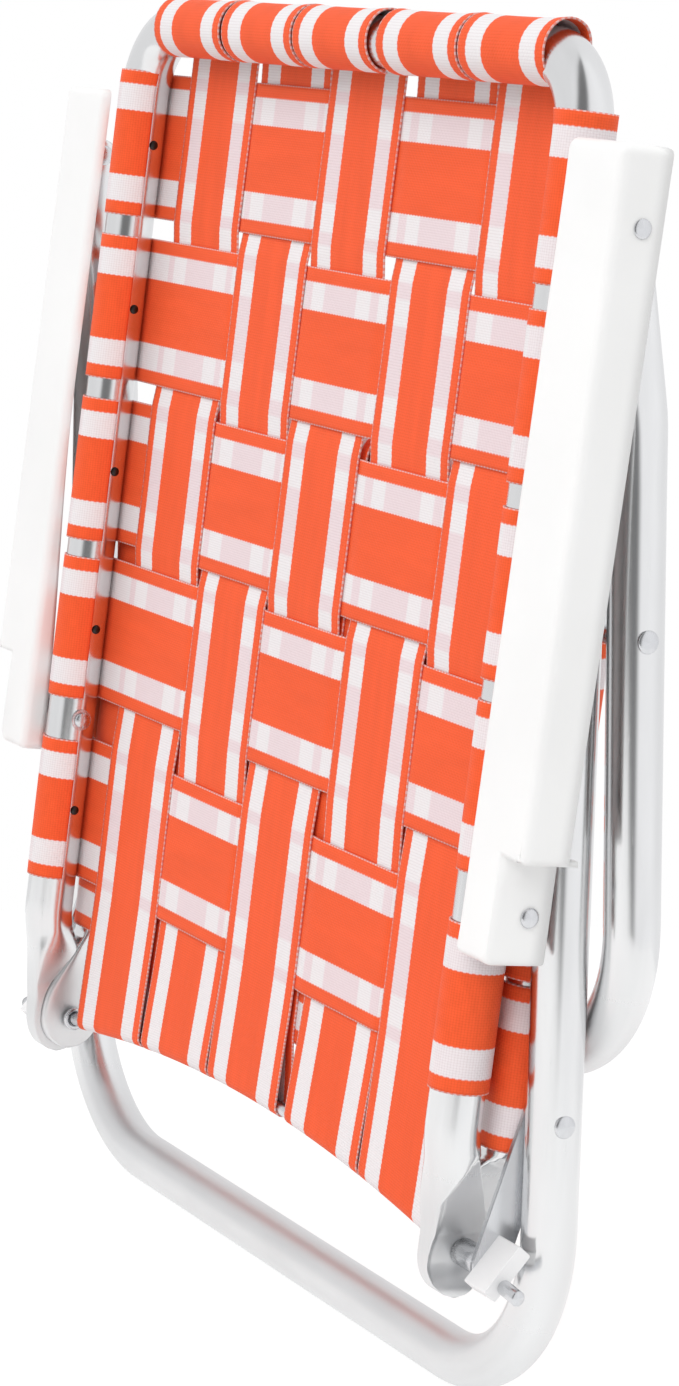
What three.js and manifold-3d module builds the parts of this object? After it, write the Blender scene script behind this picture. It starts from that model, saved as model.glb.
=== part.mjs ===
// Folding webbed lawn chair, folded flat. Millimetres, +Z up.
// X runs across the chair, y is the depth from the back tubes' axes towards the chair's front,
// z is the height over the floor. The finished group is shifted in y so that it stands centred.
import * as THREE from 'three';
import { mergeVertices } from 'three/addons/utils/BufferGeometryUtils.js';
import Module from 'manifold-3d';

const wasm = await Module();
wasm.setup();

// Tube stock and bends
const TUBE_D = 25.4;
const TUBE_SIDES = 16;
const CORNER_R = 36;
const REAR_BEND_R = 86;
const FRONT_BEND_R = 70;
const FRONT_KNEE_R = 120;
const FOOT_FLAT = 0.4;

// Widths between tube axes and steps from layer to layer
const BACK_SPAN = 452;
const REAR_LEG_STEP = 27.5;
const FRONT_LEG_STEP = 18.5;

// Heights over the hinge rod, with the chair folded
const ROD_HEIGHT = 78.3;
const BACK_LENGTH = 534;
const SEAT_LENGTH = 334;
const ARM_BOLT_RISE = 164;
const LEG_PIN_RISE = 464;
const SEAT_BOLT_RISE = 287;
const LINK_PIN_RISE = 75;
const FRONT_FOOT_RISE = 92;
const KNEE_BELOW_PIN = 80;

// Depths from the back tubes' axes
const ROD_DEPTH = 16;
const SEAT_DEPTH = 31.5;
const LEG_PIN_DEPTH = -3.5;
const LINK_PIN_DEPTH = 34;
const REAR_LEG_SLOPE = 0.1087;
const FRONT_LEG_SLOPE = 0.144;

// Crushed tube ends
const PADDLE_R = 17;
const SEAT_PADDLE_T = 3.5;
const BACK_PADDLE_T = 5;
const PADDLE_GAP = 0.4;
const TAB_R = 8.5;
const TAB_T = 5;
const REAR_CRUSH = 110;
const FRONT_CRUSH = 118;
const REAR_PIN_STRAIGHT = 14.5;
const FRONT_PIN_STRAIGHT = 4;
const BACK_JOG_START = 12;
const BACK_JOG_END = 42;
const BACK_CRUSH = 73;
const SEAT_JOG_START = 7;
const SEAT_JOG_END = 38;
const SEAT_CRUSH_START = 28;
const SEAT_CRUSH = 49;

// Webbing
const WEB_W = 76.2;
const WEB_T = 0.9;
const WEB_GAP = 0.4;
const WEAVE = 1.25;
const BACK_CROSS_RISES = [472.6, 385.7, 298.8, 213.4, 114.5];
const SEAT_CROSS_RISES = [87.5, 165.8, 244];
const LONG_CENTRES = [-161.3, -81.2, -2.8, 83.8, 162.2];
const WRAP_END = 250;
const CORNER_WRAP_END = 183;
const ROD_WRAP_END = 255;

// Rod, pins and sleeves
const ROD_D = 7;
const ROD_REACH = 274;
const BOLT_D = 6;
const HEAD_D = 10.5;
const HEAD_T = 3;
const SLEEVE_D = 8;
const ROD_SLEEVE_D = 13;
const CLEAR = 0.3;

// Arms
const ARM_STEP = 15;
const ARM_WIDTH = 47.6;
const ARM_WALL = 2.6;
const ARM_START_RISE = 190;
const ARM_END_RISE = 499;
const TONGUE_RISE = 142;
const TONGUE_WIDTH = 28.6;
const ARM_TOP_REAR = -20.4;
const ARM_TOP_FRONT = -17.3;
const ARM_SKIRT_REAR = 2.6;
const ARM_SKIRT_FRONT = 7.3;
const TONGUE_SKIRT = 8.5;
const ARM_EDGE_R = 8.5;
const ARM_NOSE_R = 5;
const ARM_LIP = 4;

// Swing links
const LINK_T = 2.7;
const LINK_W = 13;
const BLOCK_T = 11;
const BLOCK_LENGTH = 23;
const BLOCK_WIDTH = 14.5;
const BLOCK_IN = 10.5;
const LEG_DENT = 2.4;
const DENT_BELOW = 72;
const DENT_ABOVE = 46;
const DENT_FADE_BELOW = 18;
const DENT_FADE_ABOVE = 24;

// Positions that follow from the sizes above
const R = TUBE_D / 2;
const backX = BACK_SPAN / 2;
const rearX = backX + REAR_LEG_STEP;
const frontX = rearX + FRONT_LEG_STEP;
const rodZ = ROD_HEIGHT;
const webR = R + WEB_GAP + WEB_T / 2;
const rodR = ROD_D / 2;
const rodWebR = rodR + WEB_GAP + WEB_T / 2;
const armBolt = { y: 0, z: rodZ + ARM_BOLT_RISE };
const legPin = { y: LEG_PIN_DEPTH, z: rodZ + LEG_PIN_RISE };
const seatBolt = { y: SEAT_DEPTH, z: rodZ + SEAT_BOLT_RISE };
const linkPin = { y: LINK_PIN_DEPTH, z: rodZ + LINK_PIN_RISE };
const rod = { y: ROD_DEPTH, z: rodZ };
const armIn = backX + ARM_STEP;
const armOut = armIn + ARM_WIDTH;
const tongueOut = armIn + TONGUE_WIDTH;
const rearFootZ = R - FOOT_FLAT;
const frontFootZ = rodZ + FRONT_FOOT_RISE;
const frontFootY = seatBolt.y + FRONT_LEG_SLOPE * (seatBolt.z - frontFootZ);
const shiftY = -(ARM_TOP_REAR + frontFootY + R) / 2;

const V = (x, y, z) => new THREE.Vector3(x, y, z);
const mix = (a, b, t) => a + (b - a) * t;
const rad = THREE.MathUtils.degToRad;

// Smooth step between two heights
function ease(z, from, to) {
  const t = Math.min(1, Math.max(0, (z - from) / (to - from)));
  return t * t * (3 - 2 * t);
}

// Closed skin through rings of points; a hoop joins its last ring to its first, else both ends are capped
function loft(rings, hoop = false) {
  const n = rings[0].length;
  const pos = [];
  const idx = [];
  for (const ring of rings) {
    for (const p of ring) pos.push(p.x, p.y, p.z);
  }
  const spans = hoop ? rings.length : rings.length - 1;
  for (let i = 0; i < spans; i++) {
    const a = i * n;
    const b = ((i + 1) % rings.length) * n;
    for (let j = 0; j < n; j++) {
      const k = (j + 1) % n;
      idx.push(a + j, b + j, b + k, a + j, b + k, a + k);
    }
  }
  if (!hoop) {
    const last = (rings.length - 1) * n;
    const fan = THREE.ShapeUtils.triangulateShape(flatRing(rings[0]), []);
    for (const [a, b, c] of fan) idx.push(a, b, c);
    const fanEnd = THREE.ShapeUtils.triangulateShape(flatRing(rings[rings.length - 1]), []);
    for (const [a, b, c] of fanEnd) idx.push(last + a, last + c, last + b);
  }
  const geometry = new THREE.BufferGeometry();
  geometry.setAttribute('position', new THREE.Float32BufferAttribute(pos, 3));
  geometry.setIndex(idx);
  return outward(geometry);
}

// A ring's points in its own plane, counted round the same way as the ring
function flatRing(ring) {
  const mid = ring.reduce((s, p) => s.add(p), V(0, 0, 0)).divideScalar(ring.length);
  const normal = V(0, 0, 0);
  ring.forEach((p, i) => {
    const q = ring[(i + 1) % ring.length];
    normal.add(p.clone().sub(mid).cross(q.clone().sub(mid)));
  });
  normal.normalize();
  const u = ring[0].clone().sub(mid).normalize();
  const v = normal.clone().cross(u);
  return ring.map((p) => {
    const d = p.clone().sub(mid);
    return new THREE.Vector2(d.dot(u), d.dot(v));
  });
}

// Turns a skin's faces outward
function outward(geometry) {
  const p = geometry.attributes.position.array;
  const idx = Array.from(geometry.index.array);
  let volume = 0;
  for (let i = 0; i < idx.length; i += 3) {
    const [a, b, c] = [idx[i] * 3, idx[i + 1] * 3, idx[i + 2] * 3];
    volume += p[a] * (p[b + 1] * p[c + 2] - p[b + 2] * p[c + 1]);
    volume -= p[a + 1] * (p[b] * p[c + 2] - p[b + 2] * p[c]);
    volume += p[a + 2] * (p[b] * p[c + 1] - p[b + 1] * p[c]);
  }
  if (volume < 0) {
    for (let i = 0; i < idx.length; i += 3) {
      const keep = idx[i + 1];
      idx[i + 1] = idx[i + 2];
      idx[i + 2] = keep;
    }
    geometry.setIndex(idx);
  }
  geometry.computeVertexNormals();
  return geometry;
}

function toSolid(geometry) {
  const bare = geometry.clone();
  bare.deleteAttribute('normal');
  bare.deleteAttribute('uv');
  const joined = mergeVertices(bare, 1e-4);
  return new wasm.Manifold(new wasm.Mesh({
    numProp: 3,
    vertProperties: Float32Array.from(joined.attributes.position.array),
    triVerts: Uint32Array.from(joined.index.array),
  }));
}

function toGeometry(solid) {
  const mesh = solid.getMesh();
  const geometry = new THREE.BufferGeometry();
  const pos = [];
  for (let i = 0; i < mesh.numVert; i++) {
    const k = i * mesh.numProp;
    pos.push(mesh.vertProperties[k], mesh.vertProperties[k + 1], mesh.vertProperties[k + 2]);
  }
  geometry.setAttribute('position', new THREE.Float32BufferAttribute(pos, 3));
  geometry.setIndex(Array.from(mesh.triVerts));
  geometry.computeVertexNormals();
  return geometry;
}

// Takes tools away from a blank
function cut(geometry, tools) {
  let solid = toSolid(geometry);
  for (const tool of tools) solid = solid.subtract(toSolid(tool));
  return toGeometry(solid);
}

// Round piece along X through {y, z}: stations are [x, radius]
function turned(at, stations, sides = 12) {
  return loft(stations.map(([x, r]) => {
    const ring = [];
    for (let j = 0; j < sides; j++) {
      const a = (2 * Math.PI * j) / sides;
      ring.push(V(x, at.y + r * Math.cos(a), at.z + r * Math.sin(a)));
    }
    return ring;
  }));
}

// Sleeve along X round {y, z}
function sleeve(at, x0, x1, outer, inner, sides = 14) {
  const ring = (x, r) => {
    const out = [];
    for (let j = 0; j < sides; j++) {
      const a = (2 * Math.PI * j) / sides;
      out.push(V(x, at.y + r * Math.cos(a), at.z + r * Math.sin(a)));
    }
    return out;
  };
  return loft([ring(x0, outer), ring(x1, outer), ring(x1, inner), ring(x0, inner)], true);
}

const bore = (at, x0, x1, d) => turned(at, [[x0, d / 2 + CLEAR], [x1, d / 2 + CLEAR]], 12);

// Bolt holes through both side tubes of a frame, whose axes lie at +x and -x
const acrossTube = (at, x) => [-1, 1].map((s) => bore(at, s * (x - TUBE_D), s * (x + TUBE_D), BOLT_D));

// Centre line through corner points, each corner rounded by its radius
function bentPath(corners, steps) {
  const out = [];
  corners.forEach((c, i) => {
    const before = corners[i - 1];
    const after = corners[i + 1];
    if (!before || !after || !c.r) {
      out.push(c.p.clone());
      return;
    }
    const a = before.p.clone().sub(c.p).normalize();
    const b = after.p.clone().sub(c.p).normalize();
    const half = a.angleTo(b) / 2;
    const reach = c.r / Math.tan(half);
    const mid = a.clone().add(b).normalize().multiplyScalar(c.r / Math.sin(half)).add(c.p);
    const from = c.p.clone().addScaledVector(a, reach).sub(mid);
    const to = c.p.clone().addScaledVector(b, reach).sub(mid);
    const turn = from.angleTo(to);
    const axis = from.clone().cross(to).normalize();
    const n = Math.max(2, Math.round((steps * turn) / (Math.PI / 2)));
    for (let k = 0; k <= n; k++) {
      out.push(from.clone().applyAxisAngle(axis, (turn * k) / n).add(mid));
    }
  });
  return out;
}

// Adds stations to a path where it passes the given heights
function addHeights(path, heights) {
  const out = [path[0]];
  for (let i = 1; i < path.length; i++) {
    const a = path[i - 1];
    const b = path[i];
    const hits = heights
      .map((z) => (z - a.z) / (b.z - a.z))
      .filter((t) => Number.isFinite(t) && t > 0.001 && t < 0.999)
      .sort((s, t) => s - t);
    for (const t of hits) out.push(a.clone().lerp(b, t));
    out.push(b);
  }
  return out;
}

// Tube along a path. form(z) gives the half thickness across (hu), the half width (hv)
// and how far the section is set outward in X (off).
function tube(path, form) {
  const tangents = path.map((p, i) => {
    const a = path[Math.max(0, i - 1)];
    const b = path[Math.min(path.length - 1, i + 1)];
    const before = p.clone().sub(a).normalize();
    const after = b.clone().sub(p).normalize();
    return before.add(after).normalize();
  });
  let u = V(1, 0, 0);
  let last = tangents[0];
  const rings = path.map((p, i) => {
    const t = tangents[i];
    u = u.clone().applyQuaternion(new THREE.Quaternion().setFromUnitVectors(last, t));
    u.addScaledVector(t, -u.dot(t)).normalize();
    last = t;
    const v = t.clone().cross(u);
    const { hu, hv, off } = form(p.z);
    const ring = [];
    for (let j = 0; j < TUBE_SIDES; j++) {
      const a = (2 * Math.PI * (j + 0.5)) / TUBE_SIDES;
      const q = p.clone();
      q.x += Math.sign(p.x) * off;
      ring.push(q.addScaledVector(u, hu * Math.cos(a)).addScaledVector(v, hv * Math.sin(a)));
    }
    return ring;
  });
  return loft(rings);
}

// Half width of an end that is rounded off past a centre height
const endRound = (over, r) => Math.sqrt(Math.max(0.02, 1 - (over / r) ** 2)) * r;
const END_STEPS = [0.5, 0.82, 0.97];

// Frames

function backFrame() {
  const top = rodZ + BACK_LENGTH;
  const low = rodZ - PADDLE_R;
  const shift = ROD_DEPTH * 0.5;
  const side = (sx) => [
    { p: V(sx * backX, shift, low) },
    { p: V(sx * backX, shift, rodZ + BACK_JOG_START) },
    { p: V(sx * backX, 0, rodZ + BACK_JOG_END) },
  ];
  const corners = [
    ...side(-1),
    { p: V(-backX, 0, top), r: CORNER_R },
    { p: V(backX, 0, top), r: CORNER_R },
    ...side(1).reverse(),
  ];
  const heights = [...END_STEPS.map((k) => rodZ - k * PADDLE_R), rodZ];
  for (const k of [0.33, 0.71, 0.86, 1]) heights.push(rodZ + k * BACK_CRUSH);
  const inner = backX - R + SEAT_PADDLE_T + PADDLE_GAP;
  const flatOff = inner + BACK_PADDLE_T / 2 - backX;
  const form = (z) => {
    const round = ease(z, rodZ + BACK_JOG_END, rodZ + BACK_CRUSH);
    const wide = mix(PADDLE_R, R, ease(z, rodZ + BACK_JOG_START, rodZ + BACK_CRUSH));
    return {
      hu: mix(BACK_PADDLE_T / 2, R, round),
      hv: z < rodZ ? endRound(rodZ - z, PADDLE_R) : wide,
      off: mix(flatOff, 0, round),
    };
  };
  const blank = tube(addHeights(bentPath(corners, 7), heights), form);
  const tools = [bore(rod, -rearX, rearX, ROD_D), ...acrossTube(armBolt, backX)];
  return cut(blank, tools);
}

function seatFrame() {
  const front = rodZ + SEAT_LENGTH;
  const low = rodZ - PADDLE_R;
  const side = (sx) => [
    { p: V(sx * backX, ROD_DEPTH, low) },
    { p: V(sx * backX, ROD_DEPTH, rodZ + SEAT_JOG_START) },
    { p: V(sx * backX, mix(ROD_DEPTH, SEAT_DEPTH, 0.9), rodZ + SEAT_JOG_END) },
    { p: V(sx * backX, SEAT_DEPTH, rodZ + SEAT_CRUSH) },
  ];
  const corners = [
    ...side(-1),
    { p: V(-backX, SEAT_DEPTH, front), r: CORNER_R },
    { p: V(backX, SEAT_DEPTH, front), r: CORNER_R },
    ...side(1).reverse(),
  ];
  const heights = [...END_STEPS.map((k) => rodZ - k * PADDLE_R), rodZ, rodZ + SEAT_CRUSH_START];
  for (const k of [0.37, 0.67, 0.88]) heights.push(rodZ + k * SEAT_CRUSH);
  const flatOff = SEAT_PADDLE_T / 2 - R;
  const form = (z) => {
    const round = ease(z, rodZ + SEAT_CRUSH_START, rodZ + SEAT_CRUSH);
    const wide = mix(PADDLE_R, R, ease(z, rodZ, rodZ + SEAT_CRUSH));
    return {
      hu: mix(SEAT_PADDLE_T / 2, R, round),
      hv: z < rodZ ? endRound(rodZ - z, PADDLE_R) : wide,
      off: mix(flatOff, 0, round),
    };
  };
  const blank = tube(addHeights(bentPath(corners, 7), heights), form);
  const tools = [bore(rod, -rearX, rearX, ROD_D), ...acrossTube(seatBolt, backX)];
  return cut(blank, tools);
}

// Section of a leg's upper end: crushed towards its outer side into a tab round the leg pin
function tabForm(z, start) {
  const flat = ease(z, start, legPin.z - REAR_PIN_STRAIGHT);
  const hu = mix(R, TAB_T / 2, flat);
  const hv = z > legPin.z ? endRound(z - legPin.z, TAB_R) : mix(R, TAB_R, flat);
  return { hu, hv, off: R - hu };
}

const TAB_STEPS = END_STEPS.map((k) => legPin.z + k * TAB_R);
const CRUSH_STEPS = [1, 0.85, 0.7, 0.54, 0.39, 0.25, 0.12, 0].map((k) => legPin.z - k * FRONT_CRUSH);

// Depth of a rear leg's axis below its knee
const rearDepth = (z) => linkPin.y - REAR_LEG_SLOPE * (z - linkPin.z);

function rearLeg() {
  const knee = legPin.z - KNEE_BELOW_PIN;
  const tip = legPin.z + TAB_R;
  const side = (sx) => [
    { p: V(sx * rearX, legPin.y, tip) },
    { p: V(sx * rearX, legPin.y, legPin.z - REAR_PIN_STRAIGHT) },
    { p: V(sx * rearX, rearDepth(knee), knee) },
  ];
  const corners = [
    ...side(-1),
    { p: V(-rearX, rearDepth(rearFootZ), rearFootZ), r: REAR_BEND_R },
    { p: V(rearX, rearDepth(rearFootZ), rearFootZ), r: REAR_BEND_R },
    ...side(1).reverse(),
  ];
  const dentLow = linkPin.z - DENT_BELOW;
  const dentHigh = linkPin.z + DENT_ABOVE;
  const dents = [];
  for (const k of [0, 0.5, 1]) dents.push(dentLow + k * DENT_FADE_BELOW, dentHigh - k * DENT_FADE_ABOVE);
  const start = legPin.z - REAR_CRUSH;
  const form = (z) => {
    if (z > start) return tabForm(z, start);
    const above = 1 - ease(z, dentHigh - DENT_FADE_ABOVE, dentHigh);
    const dent = (LEG_DENT / 2) * above * ease(z, dentLow, dentLow + DENT_FADE_BELOW);
    return { hu: R - dent, hv: R, off: dent };
  };
  const path = addHeights(bentPath(corners, 9), [...TAB_STEPS, ...CRUSH_STEPS, ...dents]);
  const blank = tube(path, form);
  const floor = new THREE.BoxGeometry(4 * rearX, 4 * TUBE_D, TUBE_D);
  floor.translate(0, rearDepth(0), -TUBE_D / 2);
  return cut(blank, [floor, ...acrossTube(legPin, rearX), ...acrossTube(linkPin, rearX)]);
}

function frontLeg() {
  const knee = legPin.z - KNEE_BELOW_PIN;
  const depth = (z) => seatBolt.y + FRONT_LEG_SLOPE * (seatBolt.z - z);
  const tip = legPin.z + TAB_R;
  const side = (sx) => [
    { p: V(sx * frontX, legPin.y, tip) },
    { p: V(sx * frontX, legPin.y, legPin.z - FRONT_PIN_STRAIGHT) },
    { p: V(sx * frontX, depth(knee), knee), r: FRONT_KNEE_R },
  ];
  const corners = [
    ...side(-1),
    { p: V(-frontX, frontFootY, frontFootZ), r: FRONT_BEND_R },
    { p: V(frontX, frontFootY, frontFootZ), r: FRONT_BEND_R },
    ...side(1).reverse(),
  ];
  const start = legPin.z - FRONT_CRUSH;
  const path = addHeights(bentPath(corners, 8), [...TAB_STEPS, ...CRUSH_STEPS]);
  const blank = tube(path, (z) => tabForm(z, start));
  return cut(blank, [...acrossTube(legPin, frontX), ...acrossTube(seatBolt, frontX)]);
}

// Arms

// Channel section in X and y: top face at yTop, both top edges rounded, open side at yLow
function channelRing(s, z, xIn, xOut, yTop, yLow, rIn, rOut) {
  const ring = [V(s * xIn, yLow, z)];
  for (let k = 0; k <= 2; k++) {
    const a = (Math.PI / 4) * k;
    ring.push(V(s * (xIn + rIn * (1 - Math.cos(a))), yTop + rIn * (1 - Math.sin(a)), z));
  }
  for (let k = 4; k >= 0; k--) {
    const a = (Math.PI / 8) * k;
    ring.push(V(s * (xOut - rOut * (1 - Math.cos(a))), yTop + rOut * (1 - Math.sin(a)), z));
  }
  ring.push(V(s * xOut, yLow, z));
  return ring;
}

const armShare = (z) => Math.min(1, Math.max(0,
  (z - rodZ - ARM_START_RISE) / (ARM_END_RISE - ARM_START_RISE)));
const armTop = (z) => mix(ARM_TOP_REAR, ARM_TOP_FRONT, armShare(z));
const armSkirt = (z) => mix(ARM_SKIRT_REAR, ARM_SKIRT_FRONT, armShare(z));

// Arm body between its ends, set in by the wall where the hollow is meant
function armBody(s, inset, low) {
  const z0 = rodZ + ARM_START_RISE + inset;
  const z1 = rodZ + ARM_END_RISE - inset;
  const nose = ARM_NOSE_R - inset;
  const heel = 7 - inset;
  const stations = [[z0, heel], [z0 + heel * 0.3, heel * 0.3], [z0 + heel, 0]];
  stations.push([mix(z0, z1, 0.5), 0], [z1 - nose, 0]);
  for (const a of [30, 60, 82]) {
    stations.push([z1 - nose * (1 - Math.sin(rad(a))), nose * (1 - Math.cos(rad(a)))]);
  }
  stations.push([z1, nose]);
  return loft(stations.map(([z, pull]) => {
    const top = armTop(z) + inset + pull * 0.35;
    const rOut = Math.max(1, ARM_EDGE_R - inset * 1.75);
    const outPull = z < mix(z0, z1, 0.5) ? pull * 0.6 : pull;
    const inPull = z < mix(z0, z1, 0.5) ? 0 : pull;
    return channelRing(s, z, armIn + inset + inPull, armOut - inset - outPull, top, low(z), 2.2, rOut);
  }));
}

function box(x0, x1, y0, y1, z0, z1) {
  const geometry = new THREE.BoxGeometry(Math.abs(x1 - x0), y1 - y0, z1 - z0);
  geometry.translate((x0 + x1) / 2, (y0 + y1) / 2, (z0 + z1) / 2);
  return geometry;
}

function arm(s) {
  const zStart = rodZ + ARM_START_RISE;
  const zTail = rodZ + TONGUE_RISE;
  const tail = (inset, z0, z1, xIn, yLow) => loft([[z0, 6 - inset], [z0 + 2, 2], [z0 + 6, 0], [z1, 0]]
    .map(([z, pull]) => channelRing(s, z, xIn + Math.max(0, inset ? 0 : pull),
      tongueOut - inset - Math.max(0, inset ? 0 : pull * 0.4),
      ARM_TOP_REAR + inset, yLow, 2, Math.max(1, 6 - inset))));
  let solid = toSolid(armBody(s, 0, armSkirt));
  solid = solid.add(toSolid(tail(0, zTail, zStart + 12, armIn, TONGUE_SKIRT)));
  const hollow = toSolid(armBody(s, ARM_WALL, () => 60));
  const tailHollow = toSolid(tail(ARM_WALL, zTail - 20, zStart + 20, armIn - 8, 60));
  solid = solid.subtract(hollow).subtract(tailHollow);
  const lip = loft([zStart - 5, rodZ + ARM_END_RISE - ARM_NOSE_R].map((z) => [
    V(s * (armIn - 5), armTop(z) + ARM_LIP, z),
    V(s * (armIn + ARM_WALL + 2), armTop(z) + ARM_LIP, z),
    V(s * (armIn + ARM_WALL + 2), 60, z),
    V(s * (armIn - 5), 60, z),
  ]));
  solid = solid.subtract(toSolid(lip));
  const nose = box(s * (armIn - 5), s * (frontX - 4), ARM_TOP_FRONT + ARM_LIP + 2, 60,
    rodZ + ARM_END_RISE - ARM_NOSE_R - 2, rodZ + ARM_END_RISE + 5);
  solid = solid.subtract(toSolid(nose));
  solid = solid.subtract(toSolid(bore(armBolt, s * (tongueOut - 10), s * (tongueOut + 10), BOLT_D)));
  solid = solid.subtract(toSolid(bore(legPin, s * (armOut - 10), s * (armOut + 10), BOLT_D)));
  return toGeometry(solid);
}

// Swing links

// Strap from the rod to the link pin with round ends, and the block that stands on the rod
function swingLink(s) {
  const along = new THREE.Vector2(linkPin.y - rod.y, linkPin.z - rod.z);
  const length = along.length();
  along.normalize();
  const across = new THREE.Vector2(along.y, -along.x);
  const at = (l, w, x) => V(x, rod.y + along.x * l + across.x * w, rod.z + along.y * l + across.y * w);
  const x0 = s * (backX + R + WEB_T + WEB_GAP + 0.2);
  const x1 = x0 + s * LINK_T;
  const half = LINK_W / 2;
  const outline = [];
  for (let k = 0; k <= 6; k++) {
    const a = Math.PI * (k / 6);
    outline.push([length + half * Math.sin(a), half * Math.cos(a)]);
  }
  for (let k = 0; k <= 6; k++) {
    const a = Math.PI * (k / 6);
    outline.push([-half * Math.sin(a), -half * Math.cos(a)]);
  }
  const strap = loft([x0, x1].map((x) => outline.map(([l, w]) => at(l, w, x))));
  const b0 = -BLOCK_LENGTH * 0.4;
  const b1 = BLOCK_LENGTH * 0.6;
  const hb = BLOCK_T / 2;
  const c = 2.5;
  const blockOutline = [
    [b0, -hb + c], [b0 + c, -hb], [b1 - c, -hb], [b1, -hb + c],
    [b1, hb - c], [b1 - c, hb], [b0 + c, hb], [b0, hb - c],
  ];
  const xa = x0 - s * BLOCK_IN;
  const xb = xa + s * BLOCK_WIDTH;
  const block = loft([xa, xb].map((x) => blockOutline.map(([l, w]) => at(l, w, x))));
  const solid = toSolid(strap).add(toSolid(block));
  const tools = [
    bore(rod, xa - s * 5, xb + s * 5, ROD_D),
    bore(linkPin, x0 - s * 5, x1 + s * 5, BOLT_D),
  ];
  return cut(toGeometry(solid), tools);
}

// Webbing

// Ribbon along a line of [a, b] points in a plane; place(a, b, w) puts a point at width w
function ribbon(line, place) {
  const rings = line.map((p, i) => {
    const q = line[Math.max(0, i - 1)];
    const n = line[Math.min(line.length - 1, i + 1)];
    const before = new THREE.Vector2(p[0] - q[0], p[1] - q[1]).normalize();
    const after = new THREE.Vector2(n[0] - p[0], n[1] - p[1]).normalize();
    const t = before.add(after).normalize();
    const h = WEB_T / 2;
    const a = [p[0] - t.y * h, p[1] + t.x * h];
    const b = [p[0] + t.y * h, p[1] - t.x * h];
    return [
      place(a[0], a[1], -WEB_W / 2),
      place(a[0], a[1], WEB_W / 2),
      place(b[0], b[1], WEB_W / 2),
      place(b[0], b[1], -WEB_W / 2),
    ];
  });
  return loft(rings);
}

const arc = (fromDeg, toDeg, point) => {
  const n = Math.max(2, Math.round(Math.abs(toDeg - fromDeg) / 21));
  const out = [];
  for (let k = 0; k <= n; k++) out.push(point(rad(mix(fromDeg, toDeg, k / n))));
  return out;
};

// Levels of a web where it crosses others: [edge, edge, level] turned into line points
function crossings(list, lineAt) {
  const out = [];
  for (const [e0, e1, level] of list) out.push(lineAt(e0, level), lineAt(e1, level));
  return out;
}

const EDGE = 0.2;
const half = WEB_W / 2 + EDGE;

// A cross web runs over the frame's far face and turns round both side tubes.
// dir is the side of the tubes on which the web's face lies: +1 deeper, -1 shallower.
function crossWeb(z, axisY, dir, levels, end) {
  const side = (s) => (a) => [s * (backX + webR * Math.sin(a)), axisY + dir * webR * Math.cos(a)];
  const flat = crossings(
    LONG_CENTRES.map((c, i) => [c - half, c + half, levels[i]]),
    (x, level) => [x, axisY + dir * (webR + WEAVE * level)],
  );
  const line = [...arc(end, 0, side(-1)), ...flat, ...arc(0, end, side(1))];
  return ribbon(line, (x, y, w) => V(x, y, z + w));
}

// A cross web that lies over a bolt is punched for the bolt and its sleeve
const punched = (web, at) => cut(web, [-1, 1].map((s) =>
  bore(at, s * (backX - TUBE_D), s * frontX, SLEEVE_D)));

function backLongWeb(x, levels, end) {
  const top = rodZ + BACK_LENGTH;
  const roll = arc(end, 0, (a) => [webR * Math.cos(a), top + webR * Math.sin(a)]);
  const flat = crossings(
    BACK_CROSS_RISES.map((c, i) => [rodZ + c + half, rodZ + c - half, levels[i]]),
    (z, level) => [webR + WEAVE * level, z],
  );
  const turn = arc(180, ROD_WRAP_END, (a) => [rod.y + rodWebR * Math.cos(a), rod.z + rodWebR * Math.sin(a)]);
  return ribbon([...roll, ...flat, ...turn], (y, z, w) => V(x + w, y, z));
}

function seatLongWeb(x, levels, end) {
  const front = rodZ + SEAT_LENGTH;
  const base = SEAT_DEPTH - webR;
  const flat = crossings(
    SEAT_CROSS_RISES.map((c, i) => [rodZ + c - half, rodZ + c + half, levels[i]]),
    (z, level) => [base - WEAVE * level, z],
  );
  const roll = arc(0, end, (a) => [SEAT_DEPTH - webR * Math.cos(a), front + webR * Math.sin(a)]);
  const start = [[rod.y + rodWebR, rod.z], [rod.y + rodWebR - 0.2, rod.z + 8]];
  return ribbon([...start, ...flat, ...roll], (y, z, w) => V(x + w, y, z));
}

// Materials and the finished group

function look(name, color, roughness, metalness) {
  return () => {
    const m = new THREE.MeshStandardMaterial({ color, roughness, metalness });
    m.name = name;
    return m;
  };
}

const aluminium = look('aluminium', 0xd9dbdd, 0.25, 1);
const steel = look('steel', 0xc4c6c9, 0.3, 1);
const plastic = look('arm_plastic', 0xf3f1ec, 0.5, 0);
const orange = look('webbing', 0xe8641c, 0.7, 0);

const chair = new THREE.Group();
chair.name = 'folding_lawn_chair';
chair.position.y = shiftY;

function add(name, geometry, material) {
  const mesh = new THREE.Mesh(geometry, material());
  mesh.name = name;
  chair.add(mesh);
}

add('back_frame', backFrame(), aluminium);
add('seat_frame', seatFrame(), aluminium);
add('rear_leg', rearLeg(), aluminium);
add('front_leg', frontLeg(), aluminium);

const linkIn = backX + R + WEB_T + WEB_GAP + 0.2;
const paddleOut = backX - R + SEAT_PADDLE_T + PADDLE_GAP + BACK_PADDLE_T;
const dome = (x, s, base) => [
  [x, base],
  [x + s * HEAD_T * 0.45, base * 0.9],
  [x + s * HEAD_T * 0.8, base * 0.62],
  [x + s * HEAD_T, base * 0.25],
];

add('hinge_rod', turned(rod, [
  [-ROD_REACH, rodR - 0.8], [-ROD_REACH + 0.8, rodR], [ROD_REACH - 0.8, rodR], [ROD_REACH, rodR - 0.8],
], 14), steel);

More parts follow.
